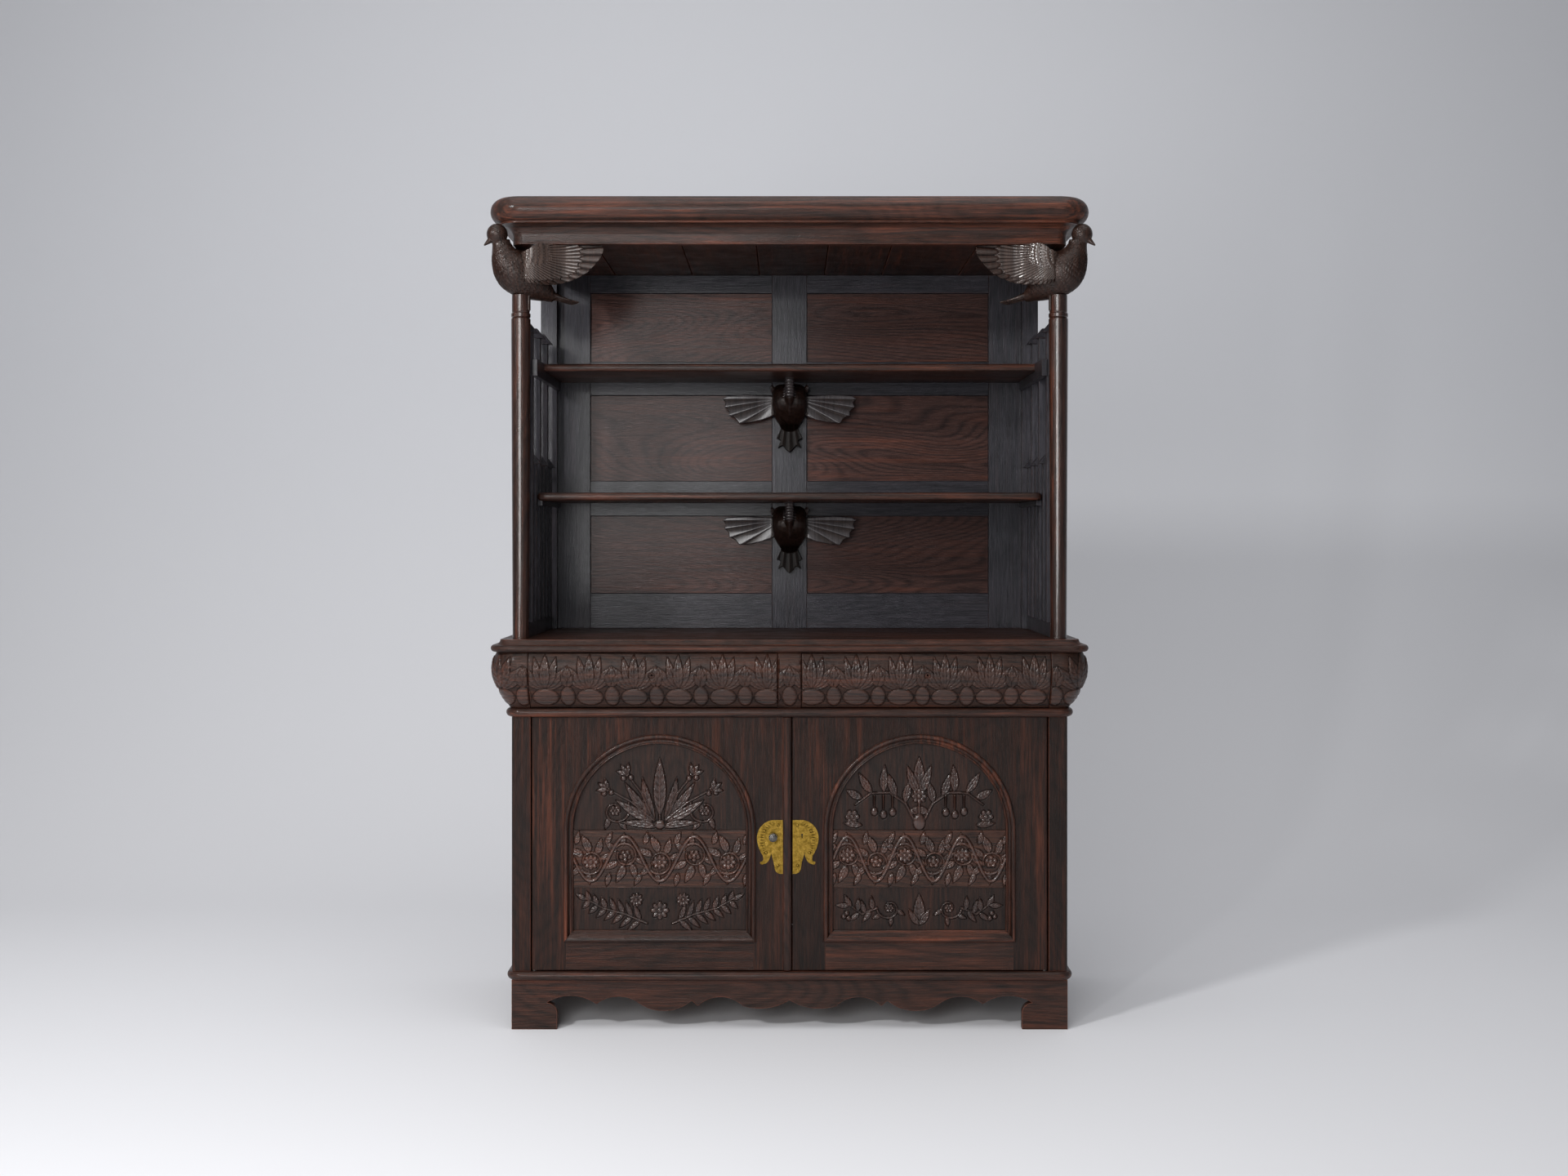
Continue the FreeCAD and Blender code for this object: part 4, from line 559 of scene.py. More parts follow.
class Carving:
    """Heights of motifs over a field of points; lengths in millimetres, directions in degrees.

    tall is a motif's share of the carving's height, and bend, wide and long are the motif's own.
    """

    def __init__(self, x, y, height):
        self.x, self.y, self.height = x, y, height
        self.high, self.cut = np.zeros_like(x), np.zeros_like(x)

    def lay(self, gap, top):
        """Lays a motif over the field: gap is the distance outside its outline, top its height."""
        near = ridge(np.clip(gap, 0, None), CUT_REACH)
        rise = np.clip(-gap / SHOULDER, 0, 1)
        rise = np.sqrt(rise * (2 - rise))
        over = np.maximum(top * rise, self.high * (1 - rise))
        self.high = np.where(gap < 0, over, self.high * (1 - 0.8 * near))
        self.cut = np.where(gap < 0, 0, np.maximum(self.cut, near))

    def leaf(self, x, y, turn, long, wide, bend=0.0, veins=5, tall=1.0):
        """A pointed leaf with a raised rim, a midrib and slanting veins."""
        c, s = math.cos(math.radians(turn)), math.sin(math.radians(turn))
        dx, dy = self.x - x, self.y - y
        t = (dx * c + dy * s) / long
        inside = np.clip(t, 0, 1)
        across = -dx * s + dy * c - bend * long * inside * inside
        half = wide / 2 * np.sin(np.pi * inside**0.8) ** 0.85
        gap = np.maximum(np.abs(across) - half, np.maximum(-t, t - 1) * long)
        share = np.clip(np.abs(across) / np.maximum(half, 0.5), 0, 1)
        ribs = np.clip(np.cos(2 * np.pi * (inside * veins - share * 0.9)), 0, 1) ** 3
        top = 0.5 + 0.5 * share**1.5 + 0.35 * ridge(across, 1.2) - 0.28 * ribs * (share > 0.12)
        self.lay(gap, self.height * tall * top)

    def spray(self, leaves, side, long, wide, bend=0.0, veins=5):
        """Leaves of one size, each from its foot in its direction, on one side of the middle."""
        for x, y, turn in leaves:
            self.leaf(side * x, y, mirrored(turn, side), long, wide, side * bend, veins)

    def beside(self, line, half, taper=0.0):
        """Distance outside a band along a line of points; it loses the taper's share to its end."""
        best = np.full_like(self.x, FAR)
        count = len(line) - 1
        for i, ((ax, ay), (bx, by)) in enumerate(zip(line, line[1:])):
            dx, dy = bx - ax, by - ay
            t = np.clip(((self.x - ax) * dx + (self.y - ay) * dy) / max(dx * dx + dy * dy, 1 / FAR), 0, 1)
            width = half * (1 - taper * (i + t) / count)
            best = np.minimum(best, np.hypot(self.x - ax - t * dx, self.y - ay - t * dy) - width)
        return best

    def stem(self, line, wide=5.0, tall=0.75):
        """A round stem along a line of points, thinner to its end."""
        gap = self.beside(line, wide / 2, 0.4)
        self.lay(gap, self.height * tall * (0.45 + 0.75 * np.clip(-gap / (wide / 2), 0, 1)))

    def berry(self, x, y, across, up=None, tall=1.0, banded=False):
        """A round or oval fruit, with two cut bands if it is banded."""
        up = up or across
        far = np.hypot((self.x - x) / across, (self.y - y) / up)
        top = 0.35 + 0.65 * np.sqrt(np.clip(1 - far * far, 0, 1))
        if banded:
            level = (self.y - y) / up
            top -= 0.3 * ridge(level - 0.1, 0.07) + 0.25 * ridge(level + 0.35, 0.06)
        self.lay((far - 1) * min(across, up), self.height * tall * top)

    def rosette(self, x, y, radius, petals, tall=1.0):
        """A flower of round petals about a boss."""
        dx, dy = self.x - x, self.y - y
        far, angle = np.hypot(dx, dy), np.arctan2(dy, dx)
        lobe = np.abs(np.cos(angle * petals / 2))
        rim = radius * (0.62 + 0.38 * lobe**0.6)
        top = (0.5 + 0.5 * lobe) * (0.55 + 0.45 * np.clip(far / radius, 0, 1))
        self.lay(far - rim, self.height * tall * top)
        self.berry(x, y, radius * 0.3, tall=tall)

    def scroll(self, x, y, radius, start, turns, hand, wide):
        """A spiral stem that ends in a rosette, with three leaves on its back."""
        a = np.linspace(0, turns * 2 * np.pi, 40)
        r = radius * np.exp(-1.15 * a / (2 * np.pi))
        angle = math.radians(start) + hand * a
        line = list(zip(x + r * np.cos(angle), y + r * np.sin(angle)))
        for k in (4, 10, 16):
            turn = math.degrees(angle[k]) - hand * 38
            self.leaf(*line[k], turn, radius * 0.75, radius * 0.36, 0.2 * hand, 3)
        self.stem(line, wide)
        self.rosette(x, y, radius * 0.34, 6)


def carve_left_top(c):
    """A palmette of leaves with stalked fruit between scrolls."""
    for side in (-1, 1):
        c.scroll(side * 118, 50, 42, 90 + side * 60, 1.1, side, 7)
        for turn, long in ((68, 120), (46, 128), (22, 116)):
            c.spray([(14, 22, turn)], side, long, 25, 0.12, 6)
        for turn, long in ((57, 158), (34, 166)):
            c_turn, s_turn = math.cos(math.radians(turn)), math.sin(math.radians(turn))
            tip = (side * long * c_turn, 14 + long * s_turn)
            c.stem([(side * 16, 26), (side * long * 0.55 * c_turn, 22 + long * 0.56 * s_turn), tip], 7.5)
            for dx, dy in ((0, 0), (-9, -11), (10, -9)):
                c.berry(tip[0] + dx, tip[1] + dy, 7)
            for fan in (-42, 0, 42):
                c.leaf(*tip, turn + fan if side > 0 else 180 - turn + fan, 30, 13, 0, 3)
    c.stem([(0, 0), (0, 60), (0, 150)], 7)
    c.leaf(0, 40, 90, 150, 34, 0, 8)
    for side in (-1, 1):
        c.spray([(4, 8, 12)], side, 100, 20, -0.1)
    c.berry(0, 14, 14, 12)


def carve_right_top(c):
    """A vase of leaves, with a rosette and hanging fruit on each side."""
    leaves = (
        (36, 72, 95, 58), (60, 90, 62, 62), (92, 100, 84, 70),
        (124, 98, 48, 62), (150, 84, 18, 46), (24, 46, 160, 44),
    )
    for side in (-1, 1):
        c.stem([(side * 10, 20), (side * 36, 70), (side * 78, 98), (side * 128, 96), (side * 168, 66)], 8)
        for *foot, long in leaves:
            c.spray([foot], side, long, 21, 0.14)
        for x, y in ((70, 50), (94, 44), (118, 52)):
            c.stem([(side * x, 90), (side * x, y)], 5.5)
            c.berry(side * x, y - 4, 9, 11)
        c.rosette(side * 176, 34, 19, 6)
        c.spray([(150, 12, 6)], side, 50, 17, 0, 4)
    c.stem([(0, 0), (0, 60), (0, 120)], 8)
    c.leaf(0, 96, 90, 96, 30, 0, 6)
    for side in (-1, 1):
        c.spray([(0, 92, 62)], side, 84, 22, 0.1)
    c.rosette(0, 88, 20, 8)
    c.berry(0, 20, 16, 22)


VINE_WIDTH = 452.0
VINE_LEAVES = (
    (100, 50, 22), (58, 44, 19), (142, 44, 19), (18, 36, 15), (-152, 40, 17), (-100, 34, 15),
)
BERRIES = ((0, 11), (-10, 4), (10, 4), (-5, -7), (6, -7), (0, 1))


def vine_branch(c, x, y, side, flowering):
    """A branch curled round a rosette or fruit, with leaves outside."""
    for turn, long, wide in VINE_LEAVES:
        a = math.radians(turn)
        foot = (x + 25 * math.cos(a), y + side * 25 * math.sin(a))
        c.leaf(*foot, side * turn, long, wide, side * 0.22, 5)
    a = np.radians(np.linspace(-150, 200, 44))
    r = np.linspace(33, 20, 44)
    c.stem(list(zip(x + r * np.cos(a), y + side * r * np.sin(a))), 8, 0.8)
    if flowering:
        c.rosette(x, y, 20, 8)
    else:
        for dx, dy in BERRIES:
            c.berry(x + dx, y + side * dy, 6.6)


def vine(c, low, high, waves, flip):
    """A running stem with a branch in each bend and two leaves at each crossing of the middle."""
    mid, tall = (low + high) / 2, (high - low) / 2
    count = int(waves * 2)
    step = VINE_WIDTH / count
    for i in range(count):
        side = flip * (1 if i % 2 == 0 else -1)
        vine_branch(c, -VINE_WIDTH / 2 + (i + 0.5) * step, mid - side * 9, side, i % 2 == 0)
    line = [
        (a, mid - flip * (tall - 17) * math.cos(math.pi * (a + VINE_WIDTH / 2 - step / 2) / step))
        for a in np.linspace(-VINE_WIDTH / 2, VINE_WIDTH / 2, 90)
    ]
    c.lay(c.beside(line, 4.2), c.height * 0.85)
    for i in range(count + 1):
        x, side = -VINE_WIDTH / 2 + i * step, flip * (1 if i % 2 == 0 else -1)
        for way in (-1, 1):
            turn = 70 if side * way > 0 else -110
            c.leaf(x + way * 5, mid + side * tall * 0.5 * way, turn, 36, 15, 0.1 * way, 4)


def carve_left_low(c):
    """Two sprays of laurel tied at the middle."""
    feet = ((50, -238), (72, -229), (94, -221), (116, -214), (140, -208), (162, -200), (182, -188))
    for side in (-1, 1):
        for k, foot in enumerate(feet):
            for turn, bend in ((62, 0.1), (-34, -0.1)):
                c.spray([(*foot, turn)], side, 48 - 3 * k, 14, bend, 4)
        c.spray([(192, -184, 28)], side, 34, 13)
        c.stem([(side * 34, -246), (side * 90, -222), (side * 150, -206), (side * 196, -180)], 6.5)
        c.rosette(side * 62, -184, 18, 9)
    c.rosette(0, -212, 24, 8)


def carve_right_low(c):
    """Two curling sprays with fruit."""
    leaves = (
        (122, -210, 78), (142, -219, 66), (160, -214, 84), (178, -202, 52),
        (128, -214, -60), (158, -218, -44), (184, -198, -8),
    )
    for side in (-1, 1):
        c.scroll(side * 78, -206, 34, 90 - side * 90, 1.15, -side, 6)
        c.stem([(side * 112, -206), (side * 150, -222), (side * 196, -188)], 7)
        c.spray(leaves, side, 36, 14, 0.12, 4)
        for dx, dy in ((0, 0), (12, 4), (5, 13)):
            c.berry(side * (186 + dx), -232 + dy, 6.5)
    c.leaf(0, -252, 90, 84, 30, 0, 6)
    for side in (-1, 1):
        c.spray([(0, -250, 48)], side, 50, 17, 0.15, 4)


def carve_frieze(c, pitch, low):
    """Palmettes that stand on gadroons, with a bud between each two."""
    first, last = math.floor(c.x.min() / pitch) - 1, math.ceil(c.x.max() / pitch) + 1
    foot = low + 62
    for k in range(first, last + 1):
        x, between = (k + 0.5) * pitch, k * pitch
        for turn, long, wide in ((14, 62, 20), (36, 78, 23), (60, 88, 25)):
            for side in (-1, 1):
                c.leaf(x, foot, mirrored(turn, side), long, wide, side * 0.2, 6)
        c.leaf(x, foot, 90, 92, 26, 0, 6)
        c.berry(x, low + 34, 34, 26, 1.05, True)
        c.leaf(between, foot + 4, 90, 58, 24, 0, 5, 0.9)
        for side in (-1, 1):
            c.leaf(between, foot + 2, mirrored(60, side), 40, 13, side * 0.14, 3, 0.8)
        c.berry(between, low + 36, 19, 30, 0.95, True)


def ground(x, y, seed, deep, rows=0.0):
    """Tool marks of the cut-back ground, in rows if it has them."""
    rng = np.random.default_rng(seed)
    out = np.zeros_like(x)
    for _ in range(14):
        a, p, f = rng.uniform(0, math.pi), rng.uniform(0, 6.28), rng.uniform(0.12, 0.6)
        out += np.sin(f * (x * math.cos(a) + y * math.sin(a)) + p + 1.5 * np.sin(0.05 * x + p))
    out = deep * out / 7.5
    if rows:
        out += 0.22 * np.cos(2 * np.pi * (y / rows + 0.25 * np.sin(0.02 * x)))
    return out


# Worn tone and painted shade value of the skins' hidden backs
BACK_WEAR_AND_SHADE = 0.3


def slab(name, finish, x, y, heights, wear_and_painted_light, keep, place, depth, holed=False):
    """A closed slab over the kept cells of a grid: carved in front, flat inside the board behind.

    The back is a fan about its middle, or where the slab is holed a second grid.
    """
    rows, columns = x.shape
    index = np.arange(rows * columns).reshape(rows, columns)
    i, j = np.argwhere(keep).T
    quads = np.stack([index[i, j], index[i, j + 1], index[i + 1, j + 1], index[i + 1, j]], 1)
    used, local = np.unique(quads, return_inverse=True)
    quads = local.reshape(-1, 4)
    px, py, ph = x.ravel()[used], y.ravel()[used], heights.ravel()[used]
    edges = np.concatenate([quads[:, [k, (k + 1) % 4]] for k in range(4)])
    key = edges.min(1) * len(used) + edges.max(1)
    _, back, count = np.unique(key, return_inverse=True, return_counts=True)
    rim = edges[count[back] == 1]
    if holed:
        behind, low_rim = np.arange(len(used)), rim + len(used)
    else:
        behind, low_rim = np.unique(rim, return_inverse=True)
        low_rim = low_rim.reshape(-1, 2) + len(used)
    low = place(px[behind], py[behind], np.full(len(behind), -depth))
    if holed:
        backs = (quads[:, ::-1] + len(used)).tolist()
    else:
        hub = np.full(len(rim), len(used) + len(low))
        backs = np.stack([low_rim[:, 1], low_rim[:, 0], hub], 1).tolist()
        low = np.concatenate([low, low.mean(0)[None]])
    walls = np.stack([rim[:, 1], rim[:, 0], low_rim[:, 0], low_rim[:, 1]], 1).tolist()
    points = np.concatenate([place(px, py, ph), low])
    obj = mesh_object(name, points, quads.tolist() + backs + walls, finish)
    give(obj.data, "relief", np.concatenate([wear_and_painted_light.ravel()[used], np.full(len(low), BACK_WEAR_AND_SHADE)]))
    shade_smooth(obj.data, 60)
    return obj


def wear_and_painted_shade_of(carving):
    """How worn a carved point is, with painted shade: cuts dark as painted shade, high edges light with the
    worn tone.
    """
    painted_cut_shade = carving.cut * (carving.high < 0.3)
    return np.clip(0.27 + 0.73 * carving.high / carving.height - 0.35 * painted_cut_shade, 0, 1)


def grid(left, right, low, high, cell):
    """Even points over a rectangle."""
    xs = np.linspace(left, right, max(2, int(round((right - left) / cell)) + 1))
    ys = np.linspace(low, high, max(2, int(round((high - low) / cell)) + 1))
    return np.meshgrid(xs, ys)


def cell_centres(values):
    """The middle of each cell of a grid."""
    return (values[:-1, :-1] + values[1:, 1:]) / 2


# Places of the doors' arched openings and of the carved boards in them
DOOR_CENTRE = 341.0
SPRING_Z = 523.0
PANEL_RADIUS = 229
PANEL_FACE = 233.0
MIDDLE_FACE = 237.0
MIDDLE_HALF = 225.8
MIDDLE_FOOT = -151
# Feet and tops of the three skins over the arch's spring
TOP_REACH = (0.4, PANEL_RADIUS)
MIDDLE_REACH = (-150.4, -0.6)
LOW_REACH = (-265, -151.6)
GROUND_DEPTH = 0.09
# The carved skin's ground over the board's face, its least and most, its cut and its depth behind the face
SKIN_HEIGHT = 1.3
SKIN_RANGE = (0.15, 7)
SKIN_CUT = 1.1
SKIN_DEPTH = 1.5


def carve_door(side, sign, sizes):
    """The three carved skins of a door."""
    if sign < 0:
        carve_top, carve_low, waves = carve_left_top, carve_left_low, 2.5
    else:
        carve_top, carve_low, waves = carve_right_top, carve_right_low, 3
    wide, mid = PANEL_RADIUS, MIDDLE_HALF
    jobs = (
        ("top", "oak carved", PANEL_FACE, (-wide, wide, *TOP_REACH), carve_top, 0.0),
        (
            "middle", "oak carved middle", MIDDLE_FACE, (-mid, mid, *MIDDLE_REACH),
            lambda c: vine(c, MIDDLE_FOOT, 0, waves, -sign), 2.6,
        ),
        ("low", "oak carved", PANEL_FACE, (-wide, wide, *LOW_REACH), carve_low, 0.0),
    )
    for k, (label, finish, face, reach, design, rows) in enumerate(jobs):
        x, y = grid(*reach, sizes.cell / MM)
        carving = Carving(x, y, sizes.panel_relief / MM)
        design(carving)
        cuts = SKIN_CUT * carving.cut * (carving.high < 0.3)
        heights = SKIN_HEIGHT + ground(x, y, 5 + k + sign, GROUND_DEPTH, rows) + carving.high - cuts
        keep = np.ones((x.shape[0] - 1, x.shape[1] - 1), bool)
        if label == "top":
            keep = np.hypot(cell_centres(x), cell_centres(y)) < PANEL_RADIUS

        def place(a, b, h, face=face):
            """Places across, up and out from the board's face."""
            return np.stack([(sign * DOOR_CENTRE + a) * MM, -(face + h) * MM, (SPRING_Z + b) * MM], 1)

        heights = np.clip(heights, *SKIN_RANGE)
        name = f"{side}_door_{label}_carving"
        skin = slab(name, finish, x, y, heights, wear_and_painted_shade_of(carving), keep, place, SKIN_DEPTH)
        settle(skin, f"{side}_door", "panel_oak")


# The frieze's section: reach and height where its two bowed faces begin and end, and how far each bows out
FRIEZE_FOOT = (5, 844)
FRIEZE_BELLY = (48, 918)
FRIEZE_HEAD = (40, 993)
FRIEZE_BOWS = (3.0, 8.55)
# The frieze's plan, and the lengths from the middle that its front, corner and side take
FRIEZE_FACE = 241
CASE_HALF = 730
CORNER_RADIUS = 26
CORNER_PLACE = FRIEZE_FACE - CORNER_RADIUS
FRIEZE_FRONT = CASE_HALF - CORNER_RADIUS
FRIEZE_CORNER = 88.0
FRIEZE_SIDE = 514.4
# Lengths and heights of its skins: drawer fronts, ends and middle upright
DRAWER_SKIN = (31.9, 678.1)
DRAWER_SKIN_Z = (846.4, 990.6)
END_SKIN = (680.4, FRIEZE_FRONT + FRIEZE_CORNER + FRIEZE_SIDE)
MIDDLE_SKIN = (-29.6, 29.6)
CASE_SKIN_Z = (845, 992)
KEYHOLE = (358.0, 933.0)
KEYHOLE_RADIUS = 7.5
GADROON_FOOT = 4
FRIEZE_CELL_SHARE = 1.08
FRIEZE_SKIN_DEPTH = 1.2
FRIEZE_SKIN_FLOOR = 0.2
FRIEZE_SKIN_EDGE = 2.2


def frieze_profile():
    """Length along the frieze's face, its reach and height there, and the way outwards."""
    out = []
    for (o1, z1), (o2, z2), bow in zip((FRIEZE_FOOT, FRIEZE_BELLY), (FRIEZE_BELLY, FRIEZE_HEAD), FRIEZE_BOWS):
        t = np.linspace(0, 1, 60)
        dx, dz = o2 - o1, z2 - z1
        size = math.hypot(dx, dz)
        lift = 4 * bow * t * (1 - t)
        out.append(np.stack([o1 + dx * t + lift * dz / size, z1 + dz * t - lift * dx / size], 1))
    line = np.concatenate([out[0], out[1][1:]])
    along = lengths_along(line)
    slope = np.gradient(line, along, axis=0)
    return along, line, np.stack([slope[:, 1], -slope[:, 0]], 1)


def lengths_along(line):
    """Length from a line's start to each of its points."""
    return np.concatenate([[0], np.cumsum(np.hypot(*np.diff(line, axis=0).T))])


def carve_frieze_part(name, body, reach, path, heights_z, sizes, hole=None):
    """A carved skin over one part of the frieze; path turns a length into a place and an outward way."""
    along, line, out = frieze_profile()
    low, high = (np.interp(z, line[:, 1], along) for z in heights_z)
    x, y = grid(*reach, low, high, sizes.cell / MM * FRIEZE_CELL_SHARE)
    carving = Carving(x, y, sizes.frieze_relief / MM)
    carve_frieze(carving, sizes.frieze_pitch / MM, GADROON_FOOT)
    to_edge = np.minimum(np.minimum(y - low, high - y), np.minimum(x - reach[0], reach[1] - x))
    heights = 0.9 + ground(x, y, 3, 0.2) + carving.high - 0.9 * carving.cut * (carving.high < 0.3)
    rise = np.clip(heights - FRIEZE_SKIN_FLOOR, 0, 5) * np.clip(to_edge / FRIEZE_SKIN_EDGE, 0, 1)
    keep = np.ones((x.shape[0] - 1, x.shape[1] - 1), bool)
    if hole:
        mid_x, mid_y = hole[0], np.interp(hole[1], line[:, 1], along)
        keep = np.hypot(cell_centres(x) - mid_x, cell_centres(y) - mid_y) > KEYHOLE_RADIUS
        rise = rise * np.clip((np.hypot(x - mid_x, y - mid_y) - 7) / 3, 0, 1)

    def place(a, b, h):
        """Places along the frieze, up its face and out from it."""
        reach_out, z = np.interp(b, along, line[:, 0]), np.interp(b, along, line[:, 1])
        n_out, n_up = np.interp(b, along, out[:, 0]), np.interp(b, along, out[:, 1])
        px, py = path(a, reach_out + h * n_out)
        return np.stack([px, py, z + h * n_up], 1) * MM

    heights = FRIEZE_SKIN_FLOOR + rise
    finish = "oak carved across"
    skin = slab(name, finish, x, y, heights, wear_and_painted_shade_of(carving), keep, place, FRIEZE_SKIN_DEPTH, bool(hole))
    settle(skin, body, "oak")


def frieze_front_path(a, reach):
    """Place at a length from the middle along the front."""
    return a, -(FRIEZE_FACE + reach)


def frieze_end_path(sign):
    """Place at a length from the middle along the front, the corner and the side."""

    def path(a, reach):
        """Place at a length, with a reach out from the case."""
        s, side_start = np.abs(a), FRIEZE_FRONT + FRIEZE_CORNER
        angle = np.clip((s - FRIEZE_FRONT) / FRIEZE_CORNER, 0, 1) * np.pi / 2
        x = np.where(s < FRIEZE_FRONT, s, FRIEZE_FRONT + (CORNER_RADIUS + reach) * np.sin(angle))
        round_y = -CORNER_PLACE - (CORNER_RADIUS + reach) * np.cos(angle)
        y = np.where(s < side_start, round_y, -CORNER_PLACE + (s - side_start))
        x = np.where(s >= side_start, CASE_HALF + reach, x)
        return sign * x, y

    return path


# Door mouldings

# Sections, as distance from the opening and place in front of the cabinet's middle
SIDE_PROFILE = (
    (0, 232), (0, 240), (0.7, 242), (2.4, 243.4), (4.4, 243), (5.6, 241.6), (6.2, 239.8), (9, 239),
    (12, 239.8), (13.4, 242), (13.8, 245.4), (15.6, 248.4), (18.6, 250), (21.6, 249.4), (24, 247.2),
    (25.3, 244.4), (25.5, 241.2), (25.5, 232),
)
SILL_PROFILE = (
    (0, 232), (0, 237.6), (0.8, 238.8), (3, 240.2), (22, 248.9), (25, 250), (27.6, 249.4), (29.4, 247.2),
    (30, 244.4), (30, 232),
)
OPENING_HALF = 226.5
OPENING_FOOT = 260.0
SILL_SLOPE = SILL_PROFILE[-1][0] / SIDE_PROFILE[-1][0]
# The halves stop short of the top, so that their ends don't lie in one another
HALF_ARCH = 89.97


def swept(stations, profile):
    """A bar through stations, each an inner corner's place and its way outwards."""
    points = [(x + d * wx, -y, z + d * wz) for x, z, wx, wz in stations for d, y in profile]
    return np.array(points) * MM, rows_of_faces(len(stations), len(profile))


def door_moulding(side, sign):
    """The arched moulding in two halves with its mitred sill."""
    centre = sign * DOOR_CENTRE
    parts = []
    for half in (-1, 1):
        a = np.radians(np.linspace(0, HALF_ARCH, 46))
        stations = [(centre + half * OPENING_HALF, OPENING_FOOT, half, -SILL_SLOPE)]
        for c, s in zip(np.cos(a), np.sin(a)):
            stations.append((centre + half * OPENING_HALF * c, SPRING_Z + OPENING_HALF * s, half * c, s))
        parts.append(swept(stations[::half], SIDE_PROFILE))
    corners = [(centre + end * OPENING_HALF, OPENING_FOOT, end / SILL_SLOPE, -1) for end in (-1, 1)]
    parts.append(swept(corners, SILL_PROFILE))
    shares, axes = [], []
    for (points, faces), share, axis in zip(parts, (0.2, 0.7, 0.45), "ZZX"):
        shares += [share] * len(points)
        axes += [AXES.index(axis)] * len(faces)
    obj = mesh_object(f"{side}_door_moulding", *joined(parts), *(f"moulding {axis}" for axis in AXES))
    turn_out(obj)
    obj.data.polygons.foreach_set("material_index", axes)
    shade_smooth(obj.data, 50)
    give(obj.data, "board", shares)
    settle(obj, f"{side}_door", "moulding_oak", f"{side}_door_mouldings")


# Birds


def skin_over(obj, voxel):
    """Gives an object's overlapping solids one even skin, with points a voxel apart in metres."""
    skin = obj.modifiers.new("skin", "REMESH")
    skin.mode, skin.voxel_size, skin.use_smooth_shade = "VOXEL", voxel, True
    soft = obj.modifiers.new("soft", "SMOOTH")
    soft.factor, soft.iterations = 0.5, 2
    make_plain(obj)


def carve_skin(obj, finish, height, wear_and_painted_light, low, high):
    """Moves each point along its normal by a height kept between two, and gives it its finish and its worn
    tone with painted shade and highlight.
    """
    mesh = obj.data
    normals = np.zeros(len(mesh.vertices) * 3)
    mesh.vertices.foreach_get("normal", normals)
    height = np.clip(height, low, high) * MM
    moved = coords(mesh) + normals.reshape(-1, 3) * height[:, None]
    mesh.vertices.foreach_set("co", moved.ravel())
    mesh.update()
    give(mesh, "relief", np.clip(wear_and_painted_light, 0, 1))
    mesh.materials.append(bpy.data.materials[finish])
    shade_smooth(mesh)


def along_line(points, line):
    """Length along a line and its direction, at the nearest place to each point."""
    best = np.full(len(points), FAR)
    s, way = np.zeros(len(points)), np.zeros((len(points), 2))
    start = 0.0
    for a, b in zip(line, line[1:]):
        d = b - a
        size = np.hypot(*d)
        t = np.clip((points - a) @ d / size**2, 0, 1)
        gap = np.hypot(*(points - a - t[:, None] * d).T)
        near = gap < best
        best = np.where(near, gap, best)
        s = np.where(near, start + t * size, s)
        way[near] = d / size
        start += size
    return s, way


def smooth(t):
    """An even rise from 0 to 1."""
    t = np.clip(t, 0, 1)
    return t * t * (3 - 2 * t)


def groove(share, wide):
    """1 where two feathers meet, at a share of half from their middles, and nothing away from it."""
    return ridge(0.5 - np.abs(share), wide)


def wave(value):
    """An even wave that repeats with each whole value."""
    return np.cos(2 * np.pi * value)


def scales(s, c, row, wide, ends=0.35):
    """Rounded feathers in staggered rows: how far each place is to the tip, and how far across."""
    i = np.floor(s / row)
    f = 1 - (s / row - i)
    g = np.mod(c / wide + 0.5 * np.mod(i, 2), 1) - 0.5
    return np.mod(f + ends * (2 * g) ** 2, 1), g


# Outline of a column bird's wing, as shares outwards and downwards, from the root's top round the tip
WING_SHARES = (
    (0, 0.24), (0.09, 0.22), (0.17, 0.17), (0.29, 0), (1, 0), (1, 0.12), (0.985, 0.25), (0.95, 0.36),
    (0.905, 0.48), (0.82, 0.66), (0.725, 0.78), (0.62, 0.875), (0.53, 0.93), (0.45, 0.97), (0.37, 0.99),
    (0.28, 1), (0.19, 0.98), (0.08, 0.90), (0, 0.72),
)
# A column bird's middle line from tail to bill, as shares forwards and upwards of its length
SPINE_SHARES = (
    (-0.61, -0.04), (-0.46, -0.01), (-0.362, 0.01), (-0.236, 0.094), (-0.087, 0.181), (0.063, 0.26),
    (0.157, 0.362), (0.197, 0.465), (0.213, 0.551), (0.258, 0.612), (0.33, 0.56), (0.40, 0.484),
)
BIRD_LENGTH = 254.0
SPINE = np.array(SPINE_SHARES) * BIRD_LENGTH
SPINE_LENGTHS = lengths_along(SPINE)
TAIL_END = SPINE_LENGTHS[2]
HEAD_START = SPINE_LENGTHS[8] + 6
HEAD_MIDDLE = SPINE[9]
# Where the birds perch, and how far they look outwards from the side
PERCH = (710.0, -213.0, 1931)
BIRD_TURN = math.radians(30)
BIRD_VOXEL = 0.0014
EYE_RADIUS = 0.0034
EYE_PLACE = (5.0, 3.0)
EYE_SHARE = 0.1
# The wings: size, thickness, top, the front one's root and face and the side one's
WING_SIZE = (235, 111)
WING_THICK = 12
WING_TOP = 2062
WING_ROOT = 724
WING_FACE = 227
WING_SIDE = 704
WING_VOXEL = 0.0012
# Outline of the long feathers: reach from the wing's shoulder for directions in degrees
WING_TURNS = (-12, 0, 14, 30, 45, 60, 75, 95)
WING_REACH = (236, 240, 232, 172, 134, 106, 92, 86)
SHOULDER_DOWN = 26
SHOULDER_IN = 6


def bird_axes(sign):
    """A column bird's ways forwards and across."""
    ahead = np.array([sign * math.cos(BIRD_TURN), -math.sin(BIRD_TURN)])
    return ahead, np.array([-ahead[1], ahead[0]])


